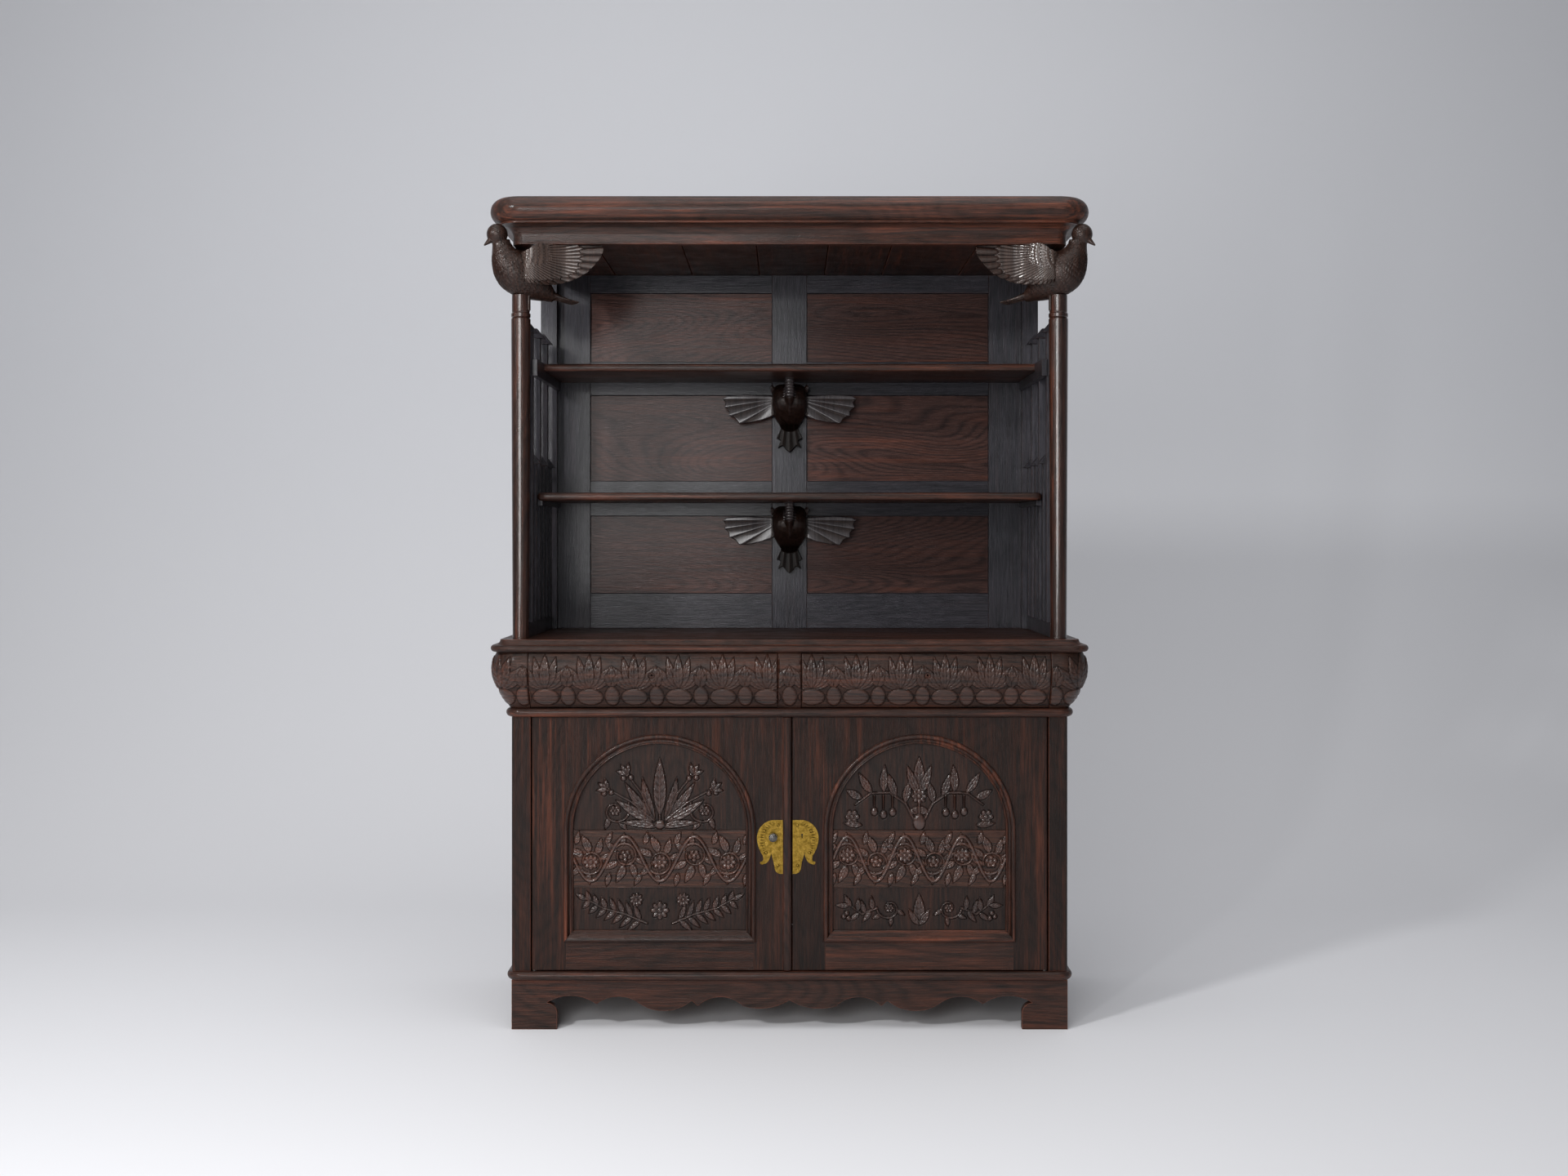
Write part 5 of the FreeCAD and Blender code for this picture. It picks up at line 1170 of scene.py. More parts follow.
def plumage(forward, across, up):
    """Depth of a column bird's carving: feathered body, striped head, fanned tail and bare legs."""
    plane = np.stack([forward, up], 1)
    s, way = along_line(plane, SPINE)
    off = plane - np.stack([np.interp(s, SPINE_LENGTHS, SPINE[:, k]) for k in (0, 1)], 1)
    lift = off[:, 1] * way[:, 0] - off[:, 0] * way[:, 1]
    angle, radius = np.abs(np.arctan2(across, lift)), np.hypot(across, lift)
    bent = s + 3.2 * np.sin(0.09 * across + 0.05 * s) + 1.8 * np.sin(0.31 * across + 0.17 * up)
    girth = angle * np.clip(radius, 12, 45) + 1.6 * np.sin(0.21 * s + 0.1 * across)
    f, g = scales(bent, girth, 12.5, 7.2, 0.5)
    uneven = 0.75 + 0.25 * np.sin(0.13 * s + 0.23 * across + 1.0) * np.sin(0.19 * up)
    feathers = uneven * ((f - 0.5) * 0.5 + 0.22 * wave(g * 3) - 0.3 * groove(g, 0.1)) - 0.1
    fan = np.abs(np.mod(across / 7.0, 1) - 0.5)
    fanned = 0.35 - 1.3 * ridge(fan, 0.09) + 0.2 * wave(across / 1.7 + s / 9)
    stripes = 0.25 * wave((up - 0.4 * forward) / 5.2) * np.clip((HEAD_START + 30 - s) / 20, 0, 1)
    head, tail = np.clip((s - HEAD_START) / 10, 0, 1), np.clip((TAIL_END - s) / 12, 0, 1)
    legs = np.clip((4 - up) / 8, 0, 1) * (forward > -90) * (s > TAIL_END)
    return (feathers * (1 - head) * (1 - tail) + stripes * head + fanned * tail) * (1 - legs)


def bird_body(side, sign, deep):
    """A column bird's body in one carved skin."""
    node = f"{side}_bird_body"
    body = mesh_object(f"{node}_carved", *joined((p, t.tolist()) for p, t in solids(node)))
    skin_over(body, BIRD_VOXEL)
    p = coords(body.data) / MM
    ahead, aside = bird_axes(sign)
    flat = p[:, :2] - np.array([sign * PERCH[0], PERCH[1]])
    height = plumage(flat @ ahead, flat @ aside, p[:, 2] - PERCH[2])
    # Feather grooves darkened as painted shade, high feathers lightened with worn tone and a painted
    # highlight.
    carve_skin(body, "oak bird", height * deep, 0.5 + 0.45 * height, -2.0, 0.6)
    settle(body, "case", "moulding_oak", node)


def bird_eyes(side, sign):
    """A bead for each of a column bird's eyes."""
    ahead, aside = bird_axes(sign)
    forward, up = HEAD_MIDDLE + np.array(EYE_PLACE)
    for k, way_out in enumerate((-1, 1)):
        x, y = ahead * forward + aside * way_out * EYE_SHARE * BIRD_LENGTH
        at = Vector((sign * PERCH[0] + x, PERCH[1] + y, PERCH[2] + up)) * MM
        bm = bmesh.new()
        place = Matrix.Translation(at)
        bmesh.ops.create_uvsphere(bm, u_segments=20, v_segments=12, radius=EYE_RADIUS, matrix=place)
        bead = mesh_object(f"{side}_bird_eye_{k + 1}", [], [], "oak bird")
        bm.to_mesh(bead.data)
        bm.free()
        shade_smooth(bead.data)
        # The beads take the high parts' colour, worn tone with a painted highlight.
        give(bead.data, "relief", np.full(len(bead.data.vertices), 0.7))
        settle(bead, "case", "moulding_oak")


def flat_prism(outline, low, high, place):
    """Points and faces of a flat piece between two depths."""
    count = len(outline)
    points = [place(x, out, down) for out in (low, high) for x, down in outline]
    faces = [list(range(count)), list(range(count, 2 * count))[::-1]]
    faces += [[(i + 1) % count, i, i + count, (i + 1) % count + count] for i in range(count)]
    return points, faces


def wing_feathers(out, down):
    """Depth of a wing's carving: small feathers at its shoulder, then two rows of long ones."""
    angle = np.degrees(np.arctan2(down - SHOULDER_DOWN, out + SHOULDER_IN))
    far = np.hypot(down - SHOULDER_DOWN, out + SHOULDER_IN)
    share = far / np.interp(angle, WING_TURNS, WING_REACH)
    broad, narrow = np.mod(angle / 5.4, 1) - 0.5, np.mod(angle / 3.3 + 0.12 * far / 20, 1) - 0.5
    past_mid = share - (0.74 + 0.05 * (2 * broad) ** 2)
    past_in = share - (0.40 + 0.06 * (2 * narrow) ** 2)
    f, g = scales(-far, np.radians(angle) * far, 13.0, 8.5)
    outer = 0.5 * (1 - (2 * broad) ** 2) - 1.5 * groove(broad, 0.07) - 0.3
    outer += 0.18 * wave(far / 3.4 + np.abs(broad) * 3)
    mid = 0.7 - 1.1 * groove(narrow, 0.1) + 0.4 * (1 - (2 * narrow) ** 2)
    mid += 0.14 * wave(far / 3.1 + np.abs(narrow) * 3)
    inner = 0.6 + f * 0.8 - 0.5 * groove(g, 0.09)
    height = np.where(past_mid > 0, outer, np.where(past_in > 0, mid, inner))
    step = np.where(past_mid > 0, past_mid, past_in)
    return height - 0.6 * ridge(step, 0.02) * (step > 0)


def bird_wings(side, sign, deep):
    """A column bird's two wings, one along the front and one along the side, bowed out and feathered."""
    outline = [(out * WING_SIZE[0], down * WING_SIZE[1]) for out, down in WING_SHARES]
    front_root, side_root = -WING_FACE, -WING_SIZE[0]

    def front_place(out, level, down):
        """A place on the wing along the front."""
        return (sign * (WING_ROOT - out) * MM, (front_root + level) * MM, (WING_TOP - down) * MM)

    def side_place(out, level, down):
        """A place on the wing along the side."""
        return (sign * (WING_SIDE + level) * MM, (side_root + out) * MM, (WING_TOP - down) * MM)

    prisms = [flat_prism(outline, 0, WING_THICK, place) for place in (front_place, side_place)]
    wings = mesh_object(f"{side}_bird_wings_carved", *joined(prisms))
    turn_out(wings)
    skin_over(wings, WING_VOXEL)
    p = coords(wings.data) / MM
    front = (p[:, 1] < front_root + WING_THICK + 3) & (np.abs(p[:, 0]) < WING_SIDE - 1)
    out = np.where(front, WING_ROOT - np.abs(p[:, 0]), p[:, 1] - side_root)
    hump = smooth(out / 38) * (1 - smooth((out - 44) / 95)) * 43
    p[:, 1] = np.where(front, p[:, 1] - hump, p[:, 1])
    p[:, 0] = np.where(front, p[:, 0], p[:, 0] + sign * 0.8 * hump)
    wings.data.vertices.foreach_set("co", (p * MM).ravel())
    wings.data.update()
    height = wing_feathers(out, WING_TOP - p[:, 2])
    # Feather grooves darkened as painted shade, high feathers lightened with worn tone and a painted
    # highlight.
    carve_skin(wings, "oak bird", (height - 1.1) * deep, 0.45 + 0.45 * height, -4.2, 0.0)
    settle(wings, "case", "moulding_oak", f"{side}_bird_wings")


# Bracket birds: rings of body and neck as shares out, down, half width and half depth
BODY_RINGS = (
    (0.05, 0.80, 0.085, 0.045), (0.10, 0.70, 0.105, 0.07), (0.16, 0.62, 0.14, 0.10), (0.25, 0.52, 0.20, 0.15),
    (0.33, 0.40, 0.236, 0.19), (0.36, 0.28, 0.240, 0.20), (0.33, 0.17, 0.235, 0.18), (0.27, 0.09, 0.21, 0.14),
    (0.24, 0.05, 0.15, 0.10),
)
NECK_RINGS = (
    (0.50, 0.36, 0.05, 0.05), (0.58, 0.24, 0.062, 0.062), (0.64, 0.13, 0.062, 0.062),
    (0.68, 0.03, 0.060, 0.060), (0.70, -0.01, 0.066, 0.066),
)
# Half the tail's outline as shares across and down, and a wing's as shares of the wing
TAIL_SHARES = (
    (0.0, 0.56), (0.10, 0.58), (0.13, 0.68), (0.185, 0.80), (0.128, 0.83), (0.172, 0.945), (0.098, 0.90),
    (0.045, 0.965), (0.0, 1.0),
)
BRACKET_WING_SHARES = (
    (0.12, 0.03), (0.35, 0.02), (0.62, -0.02), (0.94, 0.03), (1.0, 0.13), (0.955, 0.27), (0.975, 0.42),
    (0.905, 0.56), (0.90, 0.72), (0.80, 0.82), (0.74, 0.99), (0.58, 0.97), (0.36, 0.86), (0.12, 0.66),
)
BRACKET_LENGTH = 206.0
BRACKET_BACK = 278
TAIL_THICK = 34
BRACKET_WING_SIZE = (184, 83)
BRACKET_WING_ROOT = (10, 40)
BRACKET_WING_DEPTHS = (39.5, 49)
# Knobs on the shoulders: radius, place across and down, and how far out
KNOBS = ((6.5, 51, 20), (4.2, 50, 31))
KNOB_OUT = 46
KNOB_LIFT = 20
BRACKET_VOXEL = 0.0013
SHELF_UNDERSIDES = {"upper": 1746.0, "lower": 1392.0}
# Directions in degrees between a wing's flutes, from a shoulder across and down
FLUTE_TURNS = (-16.0, 0.9, 8.7, 17.8, 29.3, 46.0)
FLUTE_SHOULDER = (14, 48)


def flowing(rows, parts=5):
    """Rows of numbers with smooth rows between them."""
    rows = np.array(rows, float)
    padded = np.concatenate([2 * rows[:1] - rows[1:2], rows, 2 * rows[-1:] - rows[-2:-1]])
    out = []
    for a, b, c, d in zip(padded, padded[1:], padded[2:], padded[3:]):
        for t in np.arange(parts) / parts:
            out.append(b + 0.5 * t * (c - a + t * (2 * a - 5 * b + 4 * c - d + t * (3 * (b - c) + d - a))))
    return out + [rows[-1]]


def ring_tube(rings, size, place, steps=28):
    """Points and faces of a closed tube through rounded rings of (out, down, half width, half depth)."""
    turns = np.arange(steps) * 2 * np.pi / steps
    reach = (np.abs(np.cos(turns)) ** 2.6 + np.abs(np.sin(turns)) ** 2.6) ** (-1 / 2.6)
    points = []
    for out, down, wide, deep in rings:
        for a, r in zip(turns, reach):
            across = wide * size * r * math.cos(a)
            points.append(place(across, out * size + deep * size * r * math.sin(a), down * size))
    return points, rows_of_faces(len(rings), steps)


def bracket_solids(place):
    """The overlapping solids of a bracket bird: body, neck, tail, wings and knobs."""
    size = BRACKET_LENGTH
    parts = [ring_tube(flowing(rings), size, place) for rings in (BODY_RINGS, NECK_RINGS)]
    tail = [(x * size, d * size) for x, d in TAIL_SHARES]
    parts.append(flat_prism(tail + [(-x, d) for x, d in tail[-2:0:-1]], 0, TAIL_THICK, place))
    (long, deep), (root_x, root_down) = BRACKET_WING_SIZE, BRACKET_WING_ROOT
    for sign in (-1, 1):
        wing = [(sign * (root_x + x * long), root_down + d * deep) for x, d in BRACKET_WING_SHARES]
        parts.append(flat_prism(wing, *BRACKET_WING_DEPTHS, place))
        for r, knob_x, knob_down in KNOBS:
            rings = ((-r, 0.6), (0, 1), (r, 0.6))
            knob = [(KNOB_OUT / size, (knob_down + d) / size, r * f / size, r * f / size) for d, f in rings]

            def knob_place(x, out, down, middle=sign * knob_x):
                """A place on a knob."""
                return place(middle + x, out + KNOB_LIFT, down)

            parts.append(ring_tube(knob, size, knob_place))
    return joined(parts)


def bracket_bird(label, shelf_z):
    """A bird that carries a shelf: ringed neck, square shoulders, fluted wings, finned tail."""
    node = f"{label}_bracket_bird"

    def place(x, out, down):
        """A place across, out from the back and down from the shelf."""
        return (x * MM, (BRACKET_BACK - out) * MM, (shelf_z - down) * MM)

    obj = mesh_object(node + "_carved", *bracket_solids(place))
    turn_out(obj)
    skin_over(obj, BRACKET_VOXEL)
    p = coords(obj.data) / MM
    x, out, down = np.abs(p[:, 0]), BRACKET_BACK - p[:, 1], shelf_z - p[:, 2]
    wing = smooth((x - 50) / 6) * smooth((out - 30) / 6)
    neck = smooth((58 - down) / 12) * (x < 18) * (out > 90)
    tail = smooth((down - 116) / 14) * (x < 46)
    turns = np.array(FLUTE_TURNS)
    turn = np.degrees(np.arctan2(down - FLUTE_SHOULDER[1], x - FLUTE_SHOULDER[0]))
    k = np.clip(np.searchsorted(turns, turn) - 1, 0, len(turns) - 2)
    t = np.clip((turn - turns[k]) / (turns[k + 1] - turns[k]), 0, 1)
    fluted = -3.2 * (1 - t) ** 1.3 * smooth(t / 0.2) * smooth((out - 42) / 4)
    fluted = fluted * (0.35 + 0.65 * smooth((x - 50) / 50))
    rng = np.random.default_rng(4)
    marks = sum(
        np.sin(rng.uniform(0.15, 0.4) * (p @ rng.normal(size=3)) + rng.uniform(0, 6)) for _ in range(8)
    ) / 8
    rib = np.abs(np.mod(x / (11 + (down - 110) * 0.14) + 0.5, 1) - 0.5)
    finned = -0.8 * np.sin(np.pi * np.clip(rib, 0, 0.5)) ** 0.8
    keel = 2.2 * ridge(x, 4.5) * smooth((down - 30) / 20) * smooth((112 - down) / 16) * (out > 60)
    body = neck * 0.9 * wave(down / 8.0) + (1 - neck) * ((0.7 * marks + keel) * (1 - tail) + tail * finned)
    height = wing * fluted + (1 - wing) * body
    # Painted light in the colour: wing flutes lighter as a painted sheen with their valleys darker as painted
    # shade, neck rings lighter as a painted highlight, and the tail darker.
    wear_and_painted_light = 0.3 + 0.08 * height + wing * (0.62 + 0.14 * height) + 0.35 * neck - 0.24 * tail
    carve_skin(obj, "oak bracket bird", height, wear_and_painted_light, -3.2, 2.2)
    settle(obj, "case", "moulding_oak", node)


# Brass

# Nails and the chased border between two lines, as shares outwards and upwards of a lock plate
NAIL_SHARES = ((0.18, 0.906), (0.71, 0.797), (0.644, 0.39), (0.19, 0.155))
INNER_SHARES = np.array([(0.30, 0.94), (0.52, 0.86), (0.67, 0.74), (0.70, 0.60), (0.66, 0.47), (0.60, 0.40)])
OUTER_SHARES = np.array([(0.42, 0.98), (0.70, 0.90), (0.90, 0.76), (0.93, 0.60), (0.83, 0.44), (0.74, 0.34)])
PLATE_SIZE = (68.0, 141.0)
PLATE_FOOT = 409.0
PLATE_FACE = 242.5
PLATE_INNER = {"left": 17.6, "right": 8.0}
CROSS_STROKES = 15
LINE_STROKES = 39
# Turned shapes, as rings of radius and lift in metres
NAIL_RINGS = ((0.0027, 0.0), (0.0027, 0.0006), (0.0021, 0.0012), (0.0009, 0.0015))
SEAT_RINGS = ((0.0041, -0.0002), (0.0040, 0.00012), (0.0036, 0.00018))
DOME_RINGS = (
    (0.0109, -0.0006), (0.0104, 0.0007), (0.0088, 0.0021), (0.0062, 0.0031), (0.0032, 0.0036),
    (0.0009, 0.0038),
)
# A stroke's half length, half width and lift in metres; its size is its half length in millimetres
STROKE = (0.001, 0.00017, 0.00008)
KNOB_PLACE = (-0.0436, 0.507)
KNOB_SEAT = 0.0004


def fixings_tree():
    """Sets a shape on each point, turned and sized by the point's own attributes."""
    tree = bpy.data.node_groups.new("fixings on points", "GeometryNodeTree")
    sockets = {"Points": "Geometry", "Shape": "Object", "Material": "Material", "Seed": "Int"}
    for name, kind in sockets.items():
        tree.interface.new_socket(name, in_out="INPUT", socket_type=f"NodeSocket{kind}")
    tree.interface.new_socket("Geometry", in_out="OUTPUT", socket_type="NodeSocketGeometry")
    given = add(tree, "NodeGroupInput").outputs
    turn, size = (
        add(tree, "GeometryNodeInputNamedAttribute", {"Name": name}, data_type="FLOAT").outputs[0]
        for name in ("turn", "size")
    )
    spread_of_sizes = {2: 0.94, 3: 1.06, "Seed": given["Seed"]}
    jitter = add(tree, "FunctionNodeRandomValue", spread_of_sizes, data_type="FLOAT").outputs[1]
    euler = add(tree, "ShaderNodeCombineXYZ", {"Y": turn}).outputs[0]
    placed = add(tree, "GeometryNodeInstanceOnPoints", {
        "Points": given["Points"],
        "Instance": add(tree, "GeometryNodeObjectInfo", {"Object": given["Shape"]}).outputs["Geometry"],
        "Rotation": add(tree, "FunctionNodeEulerToRotation", {0: euler}).outputs[0],
        "Scale": product(tree, size, jitter),
    })
    real = add(tree, "GeometryNodeRealizeInstances", {0: placed.outputs[0]}).outputs[0]
    done = add(tree, "GeometryNodeSetMaterial", {"Geometry": real, "Material": given["Material"]})
    add(tree, "NodeGroupOutput", {0: done.outputs[0]})
    return tree


def fixings(name, tree, shape, finish, points, turns=0.0, sizes=1.0, seed=2):
    """Shapes on points, made a plain mesh."""
    obj = mesh_object(name, points, [])
    give(obj.data, "turn", np.broadcast_to(turns, len(points)))
    give(obj.data, "size", np.broadcast_to(sizes, len(points)))
    modifier = obj.modifiers.new("fixings", "NODES")
    modifier.node_group = tree
    sockets = {s.name: s.identifier for s in tree.interface.items_tree if s.in_out == "INPUT"}
    for socket, value in {"Shape": shape, "Material": bpy.data.materials[finish], "Seed": seed}.items():
        modifier[sockets[socket]] = value
    obj.update_tag()
    make_plain(obj)
    shade_smooth(obj.data)
    return obj


def small_shape(name, rings, *finishes, steps=14):
    """A little turned shape that rises along -Y from rings of (radius, lift)."""
    turns = np.arange(steps) * 2 * np.pi / steps
    points = [(radius * math.cos(a), -lift, radius * math.sin(a)) for radius, lift in rings for a in turns]
    faces = [side[:1] + side[:0:-1] for side in rows_of_faces(len(rings), steps)]
    return mesh_object(name, points, faces, *finishes)


def stroke_shape(long, wide, lift):
    """A thin raised ridge along X."""
    points = [(-long, 0, 0), (0, 0, -wide), (long, 0, 0), (0, 0, wide), (0, -lift, 0)]
    return mesh_object("stroke", points, [[0, 1, 4], [1, 2, 4], [2, 3, 4], [3, 0, 4], [0, 3, 2, 1]])


def on_line(line, k):
    """A place on a line of points, k counted in points from its start."""
    return np.stack([np.interp(k, range(len(line)), line[:, i]) for i in (0, 1)], -1)


def plate_engraving(side, sign, tree, nail, seat, stroke):
    """Nails with their seats and chased strokes of a lock plate."""
    wide, tall = PLATE_SIZE

    def at(out, up):
        """A place on the plate's face."""
        return Vector((sign * (PLATE_INNER[side] + out * wide), -PLATE_FACE, PLATE_FOOT + up * tall)) * MM

    def strokes(starts, ends, share):
        """Places, turns and sizes of strokes that lie between two places each."""
        for a, b in zip(starts, ends):
            way = (b - a) * np.array([wide * sign, tall])
            yield at(*((a + b) / 2)), -math.atan2(way[1], way[0]), np.hypot(*way) / 2 * share

    nails = [at(*place) for place in NAIL_SHARES]
    obj = fixings(f"{side}_plate_seats", tree, seat, "aged brass cut", nails)
    settle(obj, f"{side}_door", "brass")
    obj = fixings(f"{side}_plate_nails", tree, nail, "aged brass", nails)
    give(obj.data, "relief", np.ones(len(obj.data.vertices)))
    settle(obj, f"{side}_door", "brass")
    last = len(INNER_SHARES) - 1
    across = np.linspace(0.02, 0.98, CROSS_STROKES) * last
    line = on_line(INNER_SHARES, np.linspace(0, last, LINE_STROKES + 1))
    marks = [*strokes(on_line(INNER_SHARES, across), on_line(OUTER_SHARES, across), 0.95)]
    marks += strokes(line, line[1:], 1.3)
    obj = fixings(f"{side}_plate_chasing", tree, stroke, "aged brass cut", *zip(*marks))
    settle(obj, f"{side}_door", "brass")


# Operators


class CABINET_OT_materials(bpy.types.Operator):
    """Makes the oak, brass and steel"""

    bl_idname = "cabinet.materials"
    bl_label = "Materials"

    def execute(self, context):
        c = context.scene.cabinet_colours
        dark, light, worn = c.oak_dark, c.oak_light, c.oak_worn
        # The back's light tone is a painted sheen; the birds' worn colours are worn tone and painted
        # highlight.
        tones = {
            "oak": (dark, light, worn),
            "moulding": (dark, light, worn),
            "column": (dark, light, worn),
            "back": (c.back_dark, c.back_painted_sheen, light),
            "panel": (c.panel_dark, c.panel_light, worn),
            "inside": (toned(c.inside, 0.55), c.inside, worn),
            "oak worn edge": (light, worn, worn),
            "back worn edge": (c.back_dark, c.back_painted_sheen, worn),
            "oak carved": (c.carved_dark, c.carved_light, worn),
            "oak carved across": (c.carved_dark, c.carved_warm, worn),
            "oak carved middle": (c.carved_dark, toned(c.carved_warm, 1.4), worn),
            "oak bird": (dark, light, c.bird_worn_and_painted_highlight),
            "oak bracket bird": (dark, c.carved_light, c.bracket_worn_and_painted_sheen),
        }
        for name, (low, high, rubbed) in tones.items():
            if name in BOARDS:
                for axis in AXES:
                    brown = toned(high, UPRIGHT_SHARE) if (name, axis) == ("oak", "Z") else high
                    oak(f"{name} {axis}", axis, low, brown, rubbed, **LOOKS[name])
            else:
                oak(name, "Z" if name in UPRIGHT else "X", low, high, rubbed, **LOOKS[name])
        metal("aged brass", c.brass, c.brass_old, rough=0.26, scale=90)
        metal("aged brass cut", c.brass_old, toned(c.brass_old, 0.4), rough=0.4, scale=90)
        metal("aged steel", c.steel, toned(c.steel, 0.3), rough=0.18, scale=220)
        return {"FINISHED"}


BOARDS = {
    "oak": (
        "plinth_front", "plinth_sides", "plinth_back", "plinth_corner_blocks",
        "front_left_post", "front_right_post", "rear_posts", "case_sides", "lower_back_boards",
        "left_door_frame", "right_door_frame", "left_door_panels", "right_door_panels",
        "drawer_muntin", "left_drawer_front", "right_drawer_front", "frieze_ends", "worktop",
        "cornice_boards",
    ),
    "back": ("hutch_back_frame", "hutch_rear_posts", "left_slats", "right_slats", "gallery_rails"),
    "panel": ("hutch_back_panels",),
    "inside": (
        "bottom_board", "inner_shelf", "shelf_cleats", "divider_board", "drawer_guides",
        "left_drawer_box", "right_drawer_box",
    ),
    "moulding": ("upper_shelf", "lower_shelf", "base_bead", "waist_bead", "astragal", "cornice_moulding"),
    "column": ("left_column", "right_column"),
}
SLOTS = {
    "oak": "oak", "back": "oak", "panel": "panel_oak", "inside": "inside_oak",
    "moulding": "moulding_oak", "column": "moulding_oak",
}
METALS = {
    "brass": ("left_lock_plate", "right_lock_plate"),
    "steel": (
        "latch_keeper", "latch_knob", "left_door_pins", "right_door_pins",
        "right_door_lock", "right_door_bolt", "left_drawer_lock", "left_drawer_bolt",
        "right_drawer_lock", "right_drawer_bolt",
    ),
}
SPLIT_BY_LENGTH = ("frieze_ends", "cornice_moulding", "base_bead", "waist_bead")
# Boards of a door's frame that lie lower than this are its bottom rail
RAIL_TOP = 0.27
# The cover over the soffit boards: half its width, its front and its back, and how thick it is there
COVER_HALF = 640
COVER_FRONT = -150
COVER_STEP = 288
COVER_BACK = 299.4
COVER_TOP = 2080.2
COVER_THICK = 3
COVER_REAR_THICK = 17.4


def grain_of(node):
    """How the grain of a node's boards runs, where it isn't along the longest side."""
    if node.endswith("door_frame"):
        return lambda p: "X" if p[:, 2].max() < RAIL_TOP else "Z"
    if node.endswith("drawer_front") or node in SPLIT_BY_LENGTH:
        return lambda p: "X" if np.ptp(p[:, 0]) > np.ptp(p[:, 1]) else "Y"
    return None


def soffit_cover():
    """A thin board over the soffit that keeps light out of its joints, thicker at the back."""

    def place(x, y, down):
        """A place down from the cover's top."""
        return (x * MM, y * MM, (COVER_TOP - down) * MM)

    parts = []
    for front, back, thick in (
        (COVER_FRONT, COVER_STEP, COVER_THICK), (COVER_STEP, COVER_BACK, COVER_REAR_THICK),
    ):
        corners = [(-COVER_HALF, 0), (COVER_HALF, 0), (COVER_HALF, thick), (-COVER_HALF, thick)]
        parts.append(flat_prism(corners, front, back, place))
    settle(mesh_object("soffit_cover", *joined(parts), "inside X"), "case", "oak")


class CABINET_OT_boards(bpy.types.Operator):
    """Softens the boards and mouldings and gives them their wood"""

    bl_idname = "cabinet.boards"
    bl_label = "Boards and mouldings"

    def execute(self, context):
        sizes = context.scene.cabinet_sizes
        for kind, nodes in BOARDS.items():
            worn = "back worn edge" if kind in ("back", "panel") else "oak worn edge"
            for node in nodes:
                width = sizes.fine_edge if kind == "moulding" or node == "worktop" else sizes.edge
                if kind in ("inside", "column") or node.endswith("door_panels"):
                    width = 0.0
                finishes = [f"{kind} {axis}" for axis in AXES] + [worn]
                obj = board_copy(node, finishes, width, grain_of(node))
                settle(obj, frame["nodes"][node]["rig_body"], SLOTS[kind], node)
        soffit_cover()
        return {"FINISHED"}


class CABINET_OT_metals(bpy.types.Operator):
    """Gives the locks, plates and bolts their metal"""

    bl_idname = "cabinet.metals"
    bl_label = "Metals"

    def execute(self, context):
        for kind, nodes in METALS.items():
            for node in nodes:
                obj = frame["nodes"][node]
                for metal_slot in obj.material_slots:
                    metal_slot.material = bpy.data.materials[f"aged {kind}"]
        return {"FINISHED"}


class CABINET_OT_door_carvings(bpy.types.Operator):
    """Carves the three boards in each door"""

    bl_idname = "cabinet.door_carvings"
    bl_label = "Door carvings"

    def execute(self, context):
        for side, sign in SIDES.items():
            carve_door(side, sign, context.scene.cabinet_sizes)
        return {"FINISHED"}


class CABINET_OT_door_mouldings(bpy.types.Operator):
    """Frames the carved boards of each door"""

    bl_idname = "cabinet.door_mouldings"
    bl_label = "Door mouldings"

    def execute(self, context):
        for side, sign in SIDES.items():
            door_moulding(side, sign)
        return {"FINISHED"}


class CABINET_OT_frieze_carvings(bpy.types.Operator):
    """Carves the drawer fronts and the frieze's other parts"""

    bl_idname = "cabinet.frieze_carvings"
    bl_label = "Frieze carvings"

    def execute(self, context):
        sizes = context.scene.cabinet_sizes
        front = frieze_front_path
        for side, sign in SIDES.items():
            hole = (sign * KEYHOLE[0], KEYHOLE[1])
            drawer, end = (sorted(sign * place for place in skin) for skin in (DRAWER_SKIN, END_SKIN))
            name, body = f"{side}_drawer_carving", f"{side}_drawer"
            carve_frieze_part(name, body, drawer, front, DRAWER_SKIN_Z, sizes, hole)
            name, path = f"{side}_frieze_carving", frieze_end_path(sign)
            carve_frieze_part(name, "case", end, path, CASE_SKIN_Z, sizes)
        carve_frieze_part("frieze_middle_carving", "case", MIDDLE_SKIN, front, CASE_SKIN_Z, sizes)
        return {"FINISHED"}


class CABINET_OT_column_birds(bpy.types.Operator):
    """Feathers the birds on the columns"""

    bl_idname = "cabinet.column_birds"
    bl_label = "Column birds"

    def execute(self, context):
        deep = context.scene.cabinet_sizes.feather_depth / MM
        for side, sign in SIDES.items():
            bird_body(side, sign, deep)
            bird_eyes(side, sign)
            bird_wings(side, sign, deep)
        return {"FINISHED"}


class CABINET_OT_bracket_birds(bpy.types.Operator):
    """Carves the birds under the shelves"""

    bl_idname = "cabinet.bracket_birds"
    bl_label = "Bracket birds"

    def execute(self, context):
        for label, shelf_z in SHELF_UNDERSIDES.items():
            bracket_bird(label, shelf_z)
        return {"FINISHED"}


class CABINET_OT_plates(bpy.types.Operator):
    """Nails and chases the lock plates"""

    bl_idname = "cabinet.plates"
    bl_label = "Lock plates"

    def execute(self, context):
        tree = fixings_tree()
        shapes = small_shape("nail", NAIL_RINGS), small_shape("seat", SEAT_RINGS), stroke_shape(*STROKE)
        for side, sign in SIDES.items():
            plate_engraving(side, sign, tree, *shapes)
        for shape in shapes:
            bpy.data.objects.remove(shape)
        bpy.data.node_groups.remove(tree)
        return {"FINISHED"}


